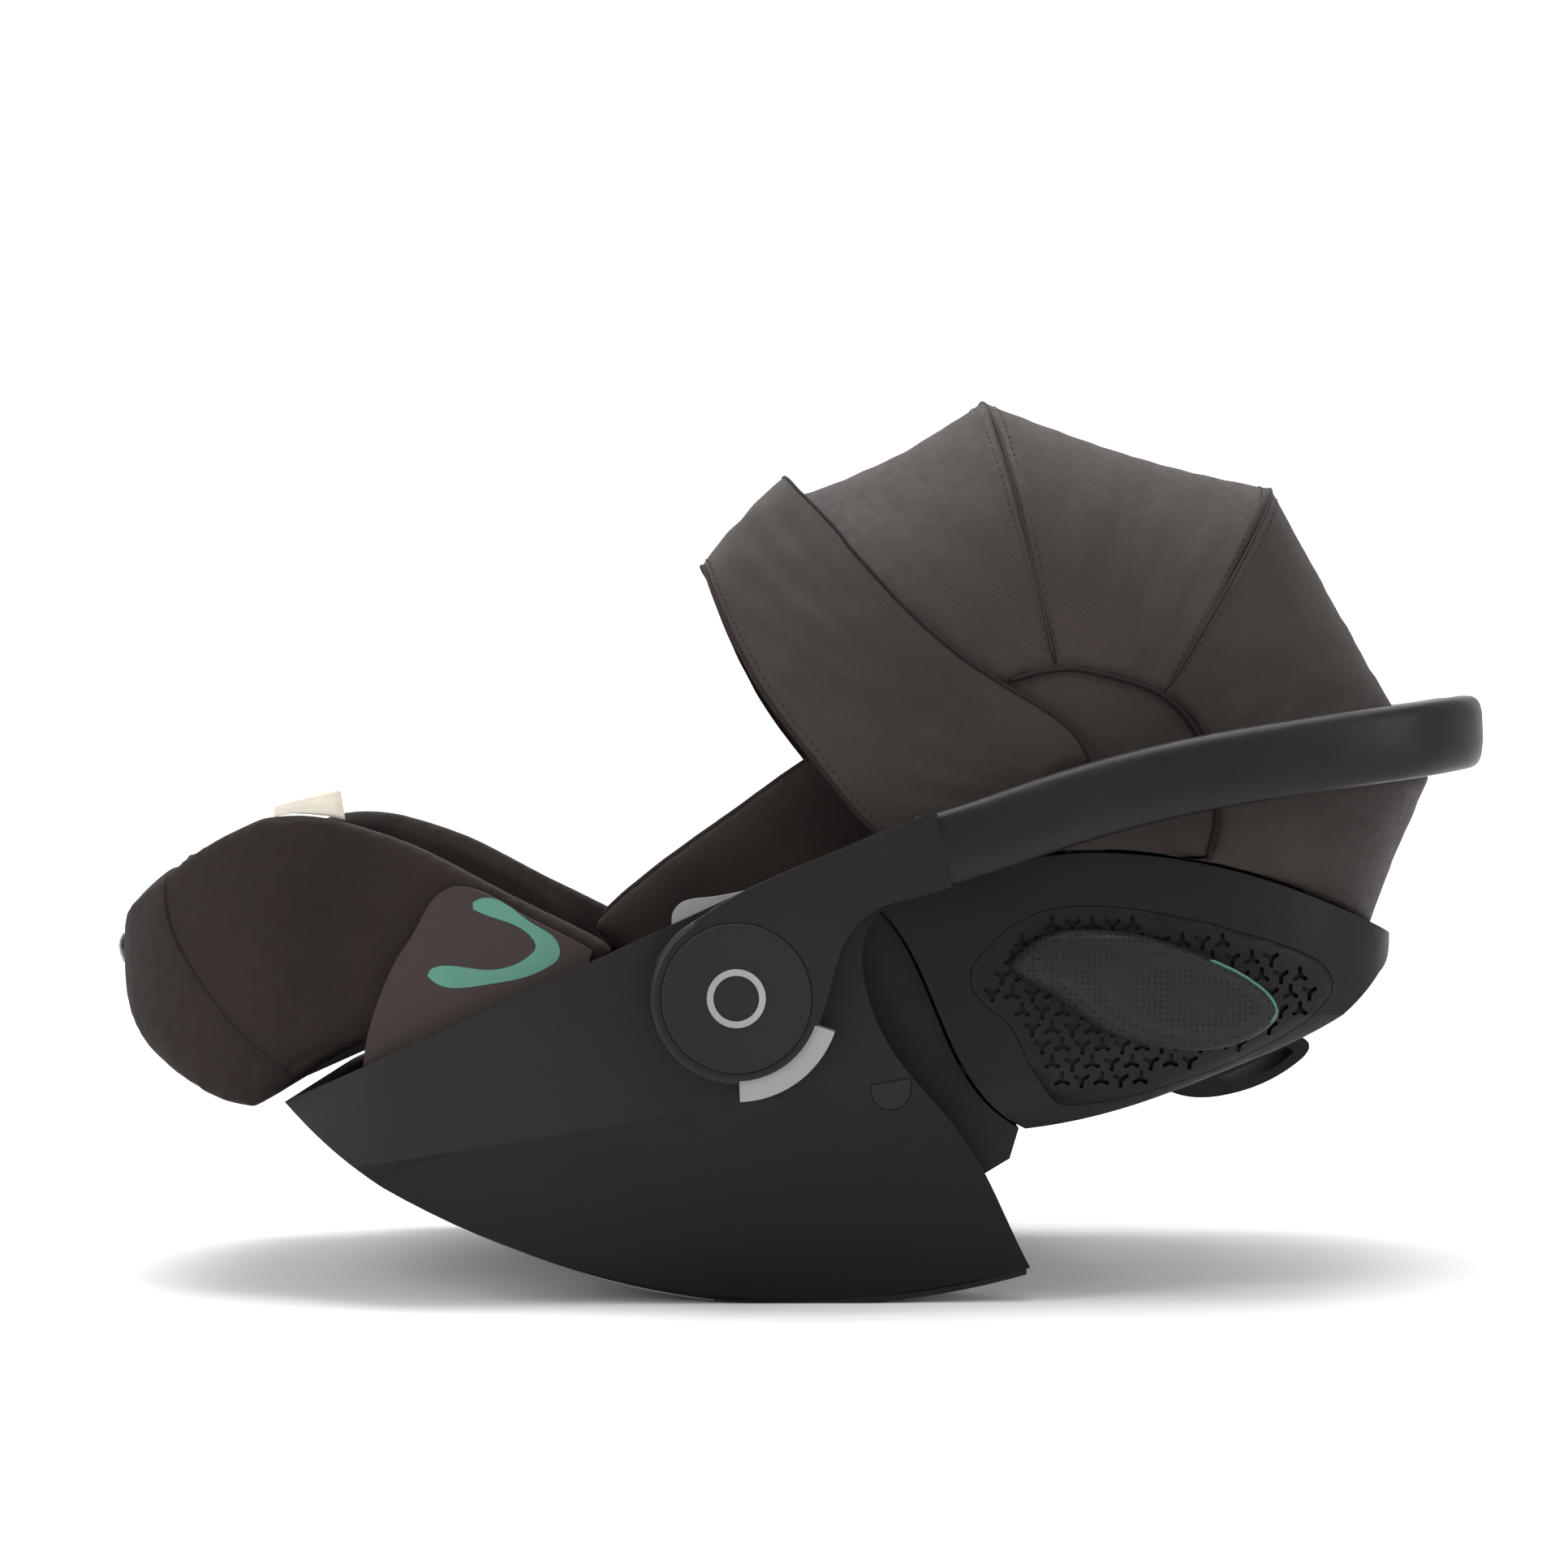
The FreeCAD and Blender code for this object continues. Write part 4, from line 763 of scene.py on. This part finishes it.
def bow_line(angle, half, reach, low, count=90):
    start = turn_at(low, reach)
    return [bow_point(angle, start + (180 - 2 * start) * k / count, half, reach) for k in range(count + 1)]


def stitches(name, path, length=3.2, gap=2.2, radius=0.33):
    """A row of short thread stitches along a path."""
    path = [Vector(p) for p in path]
    points = []
    for a, b in zip(path, path[1:]):
        parts = max(1, int((b - a).length * 1000))
        for k in range(parts):
            points.append(a.lerp(b, k / parts))
    shape = bmesh.new()
    position = 0
    step = int(length + gap)
    while position + int(length) < len(points):
        a, b = points[position], points[position + int(length)]
        along = (b - a).normalized()
        side = along.cross(Vector((0.31, 0.12, 0.94))).normalized()
        lift = side.cross(along)
        rings = []
        for share, size in ((0.0, 0.3), (0.2, 1.0), (0.8, 1.0), (1.0, 0.3)):
            centre = a.lerp(b, share)
            ring = []
            for k in range(5):
                turn = 2 * math.pi * k / 5
                out = side * math.cos(turn) + lift * math.sin(turn)
                ring.append(shape.verts.new(centre + out * radius / 1000 * size))
            rings.append(ring)
        for one, other in zip(rings, rings[1:]):
            for k in range(5):
                shape.faces.new((one[k], one[(k + 1) % 5], other[(k + 1) % 5], other[k]))
        shape.faces.new(rings[0][::-1])
        shape.faces.new(rings[-1])
        position += step
    mesh = bpy.data.meshes.new(name)
    shape.to_mesh(mesh)
    shape.free()
    return link(name, mesh, THREAD)


# seams over the bows
top_seam = tube("top_bow_seam", bow_line(TOP_BOW, HOOD_HALF + 0.1, 246.6, 86), 0.6, THREAD)
place(top_seam, "canopy", "canopy_fabric")
rear_seam = tube("rear_bow_seam", bow_line(REAR_BOW, HOOD_HALF + 0.1, 225.1, 84), 0.6, THREAD)
place(rear_seam, "backrest", "canopy_fabric")
for label, angle, reach, body in (("top", TOP_BOW, 246.0, "canopy"), ("rear", REAR_BOW, 224.8, "backrest")):
    rows = []
    sides = (mid_reach, front_reach) if label == "top" else (rear_all, mid_reach)
    for offset, surface_reach in zip((-1.45, 1.45), sides):
        row_reach = surface_reach(angle + offset) + 0.15
        rows.append(stitches("stitch", bow_line(angle + offset, HOOD_HALF + 0.15, row_reach, 90)))
    place(joined(label + "_bow_stitches", rows), body, "canopy_fabric")

# quarter panels
for side, sign in SIDES:
    centre = np.array([150.0, 288.0])
    rows = []
    for share in (0.02, 0.2, 0.4, 0.6, 0.78, 0.9, 0.965, 1.0):
        bulge = 1.3 * (1 - share**6)
        row = []
        for x, z in quarter_line:
            spot = centre + (np.array([x, z]) - centre) * share
            row.append(at(spot[0], spot[1], sign * (171.6 + bulge)))
        rows.append(row)
    panel = grid("quarter_panel_" + side, rows, HOOD_CLOTH, closed_v=True)
    shape = bmesh.new()
    shape.from_mesh(panel.data)
    hub = at(150, 288, sign * 172.9)
    rim = [e for e in shape.edges if e.is_boundary and e.calc_length() < 0.0006]
    rim = [e for e in rim if (e.verts[0].co - hub).length < 0.01]
    bmesh.ops.holes_fill(shape, edges=rim, sides=400)
    bmesh.ops.recalc_face_normals(shape, faces=shape.faces)
    total = sum(f.normal.y * sign * f.calc_area() for f in shape.faces)
    if total < 0:
        bmesh.ops.reverse_faces(shape, faces=shape.faces)
    shape.to_mesh(panel.data)
    shape.free()
    solid = panel.modifiers.new("thick", "SOLIDIFY")
    solid.thickness = 0.0011
    solid.offset = -1
    apply_modifiers(panel)
    place(panel, "backrest", "canopy_fabric", "canopy_sides")
    edge = [at(x, z, sign * 172.6) for x, z in smooth_path(QUARTER, 3)]
    place(tube("quarter_piping_" + side, edge, 1.3, PIPING), "backrest", "canopy_fabric")
    inner = []
    for x, z in smooth_path(QUARTER[:-1], 3):
        spot = centre + (np.array([x, z]) - centre) * 0.945
        inner.append(at(spot[0], spot[1], sign * 173.0))
    place(stitches("quarter_stitches_" + side, inner), "backrest", "canopy_fabric")

# visor
VISOR_BACK = [(-2, 463), (33, 418), (59, 386), (89, 357), (119.5, 335), (141, 322), (156.5, 309), (165, 292)]
VISOR_BACK += [(170, 262), (150, 250), (100, 240), (63, 241.5)]
VISOR_FRONT = [(63, 241.5), (50, 255), (37, 268), (15, 296), (-7, 324), (-25, 355), (-38, 383), (-47, 408)]
visor_line = smooth_path(VISOR_BACK, 3)[:-1] + smooth_path(VISOR_FRONT, 3)
visor_line += [np.array(p, float) for p in ((-70, 440), (-40, 490), (-10, 490))]
polygon = np.array(visor_line)


def around(radius, angle):
    """The drawn point at an angle round the canopy's pivot."""
    turned = math.radians(angle)
    return PIVOT[0] + radius * math.cos(turned), PIVOT[1] + radius * math.sin(turned)


def inside(x, z):
    x1, z1 = polygon[:, 0], polygon[:, 1]
    x2, z2 = np.roll(x1, -1), np.roll(z1, -1)
    crosses = (z1 > z) != (z2 > z)
    at_x = (x2 - x1) * (z - z1) / np.where(np.abs(z2 - z1) < 1e-9, 1e-9, z2 - z1) + x1
    return int(np.sum(crosses & (x < at_x))) % 2 == 1


VISOR_REACH = 257.0
SPREADS = []
for radius in np.linspace(26, VISOR_REACH, 90):
    angles = [a for a in np.arange(84, 197.01, 0.4) if inside(*around(radius, a))]
    SPREADS.append((radius, min(angles), max(angles)))
SPREADS = np.array(SPREADS)
for column in (1, 2):
    padded = np.pad(SPREADS[:, column], 2, mode="edge")
    SPREADS[:, column] = np.convolve(padded, np.ones(5) / 5, mode="valid")
visor_rows = []
VISOR_COLUMNS = 96
first_turn = turn_at(26, VISOR_REACH)
for share in span(0, 1, 30):
    row = []
    for k in range(VISOR_COLUMNS + 1):
        turn = first_turn + (180 - 2 * first_turn) * k / VISOR_COLUMNS
        radius = VISOR_REACH * math.sin(math.radians(turn)) ** (2 / SQUARE)
        low = float(np.interp(radius, SPREADS[:, 0], SPREADS[:, 1]))
        high = float(np.interp(radius, SPREADS[:, 0], SPREADS[:, 2]))
        angle = low + (high - low) * share
        fade = math.sin(math.pi * share) * min(1.0, radius / 120)
        row.append(bow_point(angle, turn, VISOR_HALF, VISOR_REACH, wrinkle(angle, turn, 0.7 * fade)))
    visor_rows.append(row)
visor = cloth_panel("visor_cloth", visor_rows, 1.5)
place(visor, "visor", "canopy_fabric", "visor")
for label, index, radius in (("back", 0, 0.9), ("front", -1, 1.3)):
    edge = tube(f"visor_{label}_piping", visor_rows[index], radius, PIPING)
    place(edge, "visor", "canopy_fabric")
hem_row = visor_rows[-3]
hem_line = [p + (p - at(163, 263)).normalized() * 0.0003 for p in hem_row]
place(stitches("visor_hem_stitches", hem_line), "visor", "canopy_fabric")

for thing, body_a, body_b, low, high, node in (
    (mid, "backrest", "canopy", REAR_BOW, TOP_BOW, "canopy_mid"),
    (front, "canopy", "visor", TOP_BOW, 129.5, "canopy_front"),
):
    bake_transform(thing)
    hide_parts(node)

# ---------------------------------------------------------------- vented side panels
VENT = [(101, 182.4), (109, 193.3), (124, 206.4), (146, 215.2), (168, 216.5), (198.4, 213.4), (233, 206.4)]
VENT += [(258, 199), (281, 191), (294.5, 182.5), (298, 176), (294.5, 165), (283.6, 154), (264, 141)]
VENT += [(242, 130), (211.5, 119), (181, 111.3), (156, 109), (148, 110.5), (142, 117), (131, 134.4)]
VENT += [(122, 152), (109, 163), (102.3, 171.5)]
vent_polygon = [tuple(p) for p in smooth_path(VENT, 4, closed=True)]


def depth_inside(x, z):
    """Distance to the outline, negative outside."""
    crossings, nearest = 0, 1e9
    for (x1, z1), (x2, z2) in zip(vent_polygon, vent_polygon[1:] + vent_polygon[:1]):
        if (z1 > z) != (z2 > z) and x < (x2 - x1) * (z - z1) / (z2 - z1) + x1:
            crossings += 1
        squared = max(1e-9, (x2 - x1) ** 2 + (z2 - z1) ** 2)
        t = max(0.0, min(1.0, ((x - x1) * (x2 - x1) + (z - z1) * (z2 - z1)) / squared))
        nearest = min(nearest, math.hypot(x - x1 - t * (x2 - x1), z - z1 - t * (z2 - z1)))
    return nearest if crossings % 2 else -nearest


def slot_outline(x, z, turned):
    """A three-armed slot."""
    points = []
    for arm in range(3):
        angle = math.radians(90 + 120 * arm + turned)
        out = np.array([math.cos(angle), math.sin(angle)])
        side = np.array([-out[1], out[0]])
        for reach, wide in ((1.4, -1.15), (4.2, -1.15), (4.8, -0.55), (4.8, 0.55), (4.2, 1.15), (1.4, 1.15)):
            points.append(np.array([x, z]) + out * reach + side * wide)
    return points


SLOTS = []
PITCH = 10.8
for row in range(-2, 16):
    for column in range(-2, 22):
        x = 96 + column * PITCH + (PITCH / 2 if row % 2 else 0)
        z = 104 + row * PITCH * 0.866
        if depth_inside(x, z) > 6.6:
            SLOTS.append((x, z, 0 if (row + column) % 2 else 60))
for side, sign in SIDES:
    panel = bpy.data.objects.new("vent_grille_" + side, NODES["vent_panel_" + side].data.copy())
    scene.collection.objects.link(panel)
    panel.data.materials.clear()
    panel.data.materials.append(SHELL)
    shape = bmesh.new()
    for x, z, turned in SLOTS:
        outline = slot_outline(x, z, turned)
        near = [shape.verts.new(at(px, pz, sign * 150)) for px, pz in outline]
        far = [shape.verts.new(at(px, pz, sign * 175)) for px, pz in outline]
        count = len(near)
        for k in range(count):
            shape.faces.new((near[k], near[(k + 1) % count], far[(k + 1) % count], far[k]))
        shape.faces.new(near[::-1])
        shape.faces.new(far)
    bmesh.ops.recalc_face_normals(shape, faces=shape.faces)
    mesh = bpy.data.meshes.new("cutters")
    shape.to_mesh(mesh)
    shape.free()
    cutter = bpy.data.objects.new("cutters", mesh)
    scene.collection.objects.link(cutter)
    cut = panel.modifiers.new("cut", "BOOLEAN")
    cut.operation = "DIFFERENCE"
    cut.solver = "EXACT"
    cut.object = cutter
    apply_modifiers(panel)
    bpy.data.objects.remove(cutter)
    place(panel, "backrest", "shell_plastic", "vent_panel_" + side)

# the colour line along the head end of each side pod
POD_MIDDLE = np.array([192.0, 172.0])
for side, sign in SIDES:
    tree = surface(NODES["side_pod_" + side])
    line = []
    for turn in span(-14, 24, 20):
        out = np.array([math.cos(math.radians(turn)), math.sin(math.radians(turn))])
        found = [r for r in np.arange(30, 110, 0.5) if on_side(tree, *(POD_MIDDLE + out * r), sign, 0)]
        if found:
            line.append(on_side(tree, *(POD_MIDDLE + out * (found[-1] - 2.0)), sign, 0.15))
    place(tube("pod_line_" + side, line, 0.8, MINT), "side_pod_" + side, "mint_trim")

# ---------------------------------------------------------------- floor
rows = []
SWEEP = [(-4.0, 0.0), (-1.5, 0.0), (0.6, 0.0), (1.5, 0.0), (2.15, 0.12), (2.5, 0.55), (2.6, 1.2), (2.6, 4.0)]
for y, z in smooth_path(SWEEP, 0.2):
    rows.append([Vector((x, y, z)) for x in (-5.0, 5.0)])
floor_shader = Shader("studio_floor")
floor_tone = floor_shader.ramp(floor_shader.noise(1.2, 2.0), 0.0, 1.0)
floor_shader.set("Base Color", floor_shader.mix(floor_tone, (0.86, 0.86, 0.86), (0.89, 0.89, 0.89)))
floor_shader.set("Roughness", floor_shader.ramp(floor_shader.noise(4.0), 0.75, 0.85))
floor = grid("floor", rows, floor_shader.material)
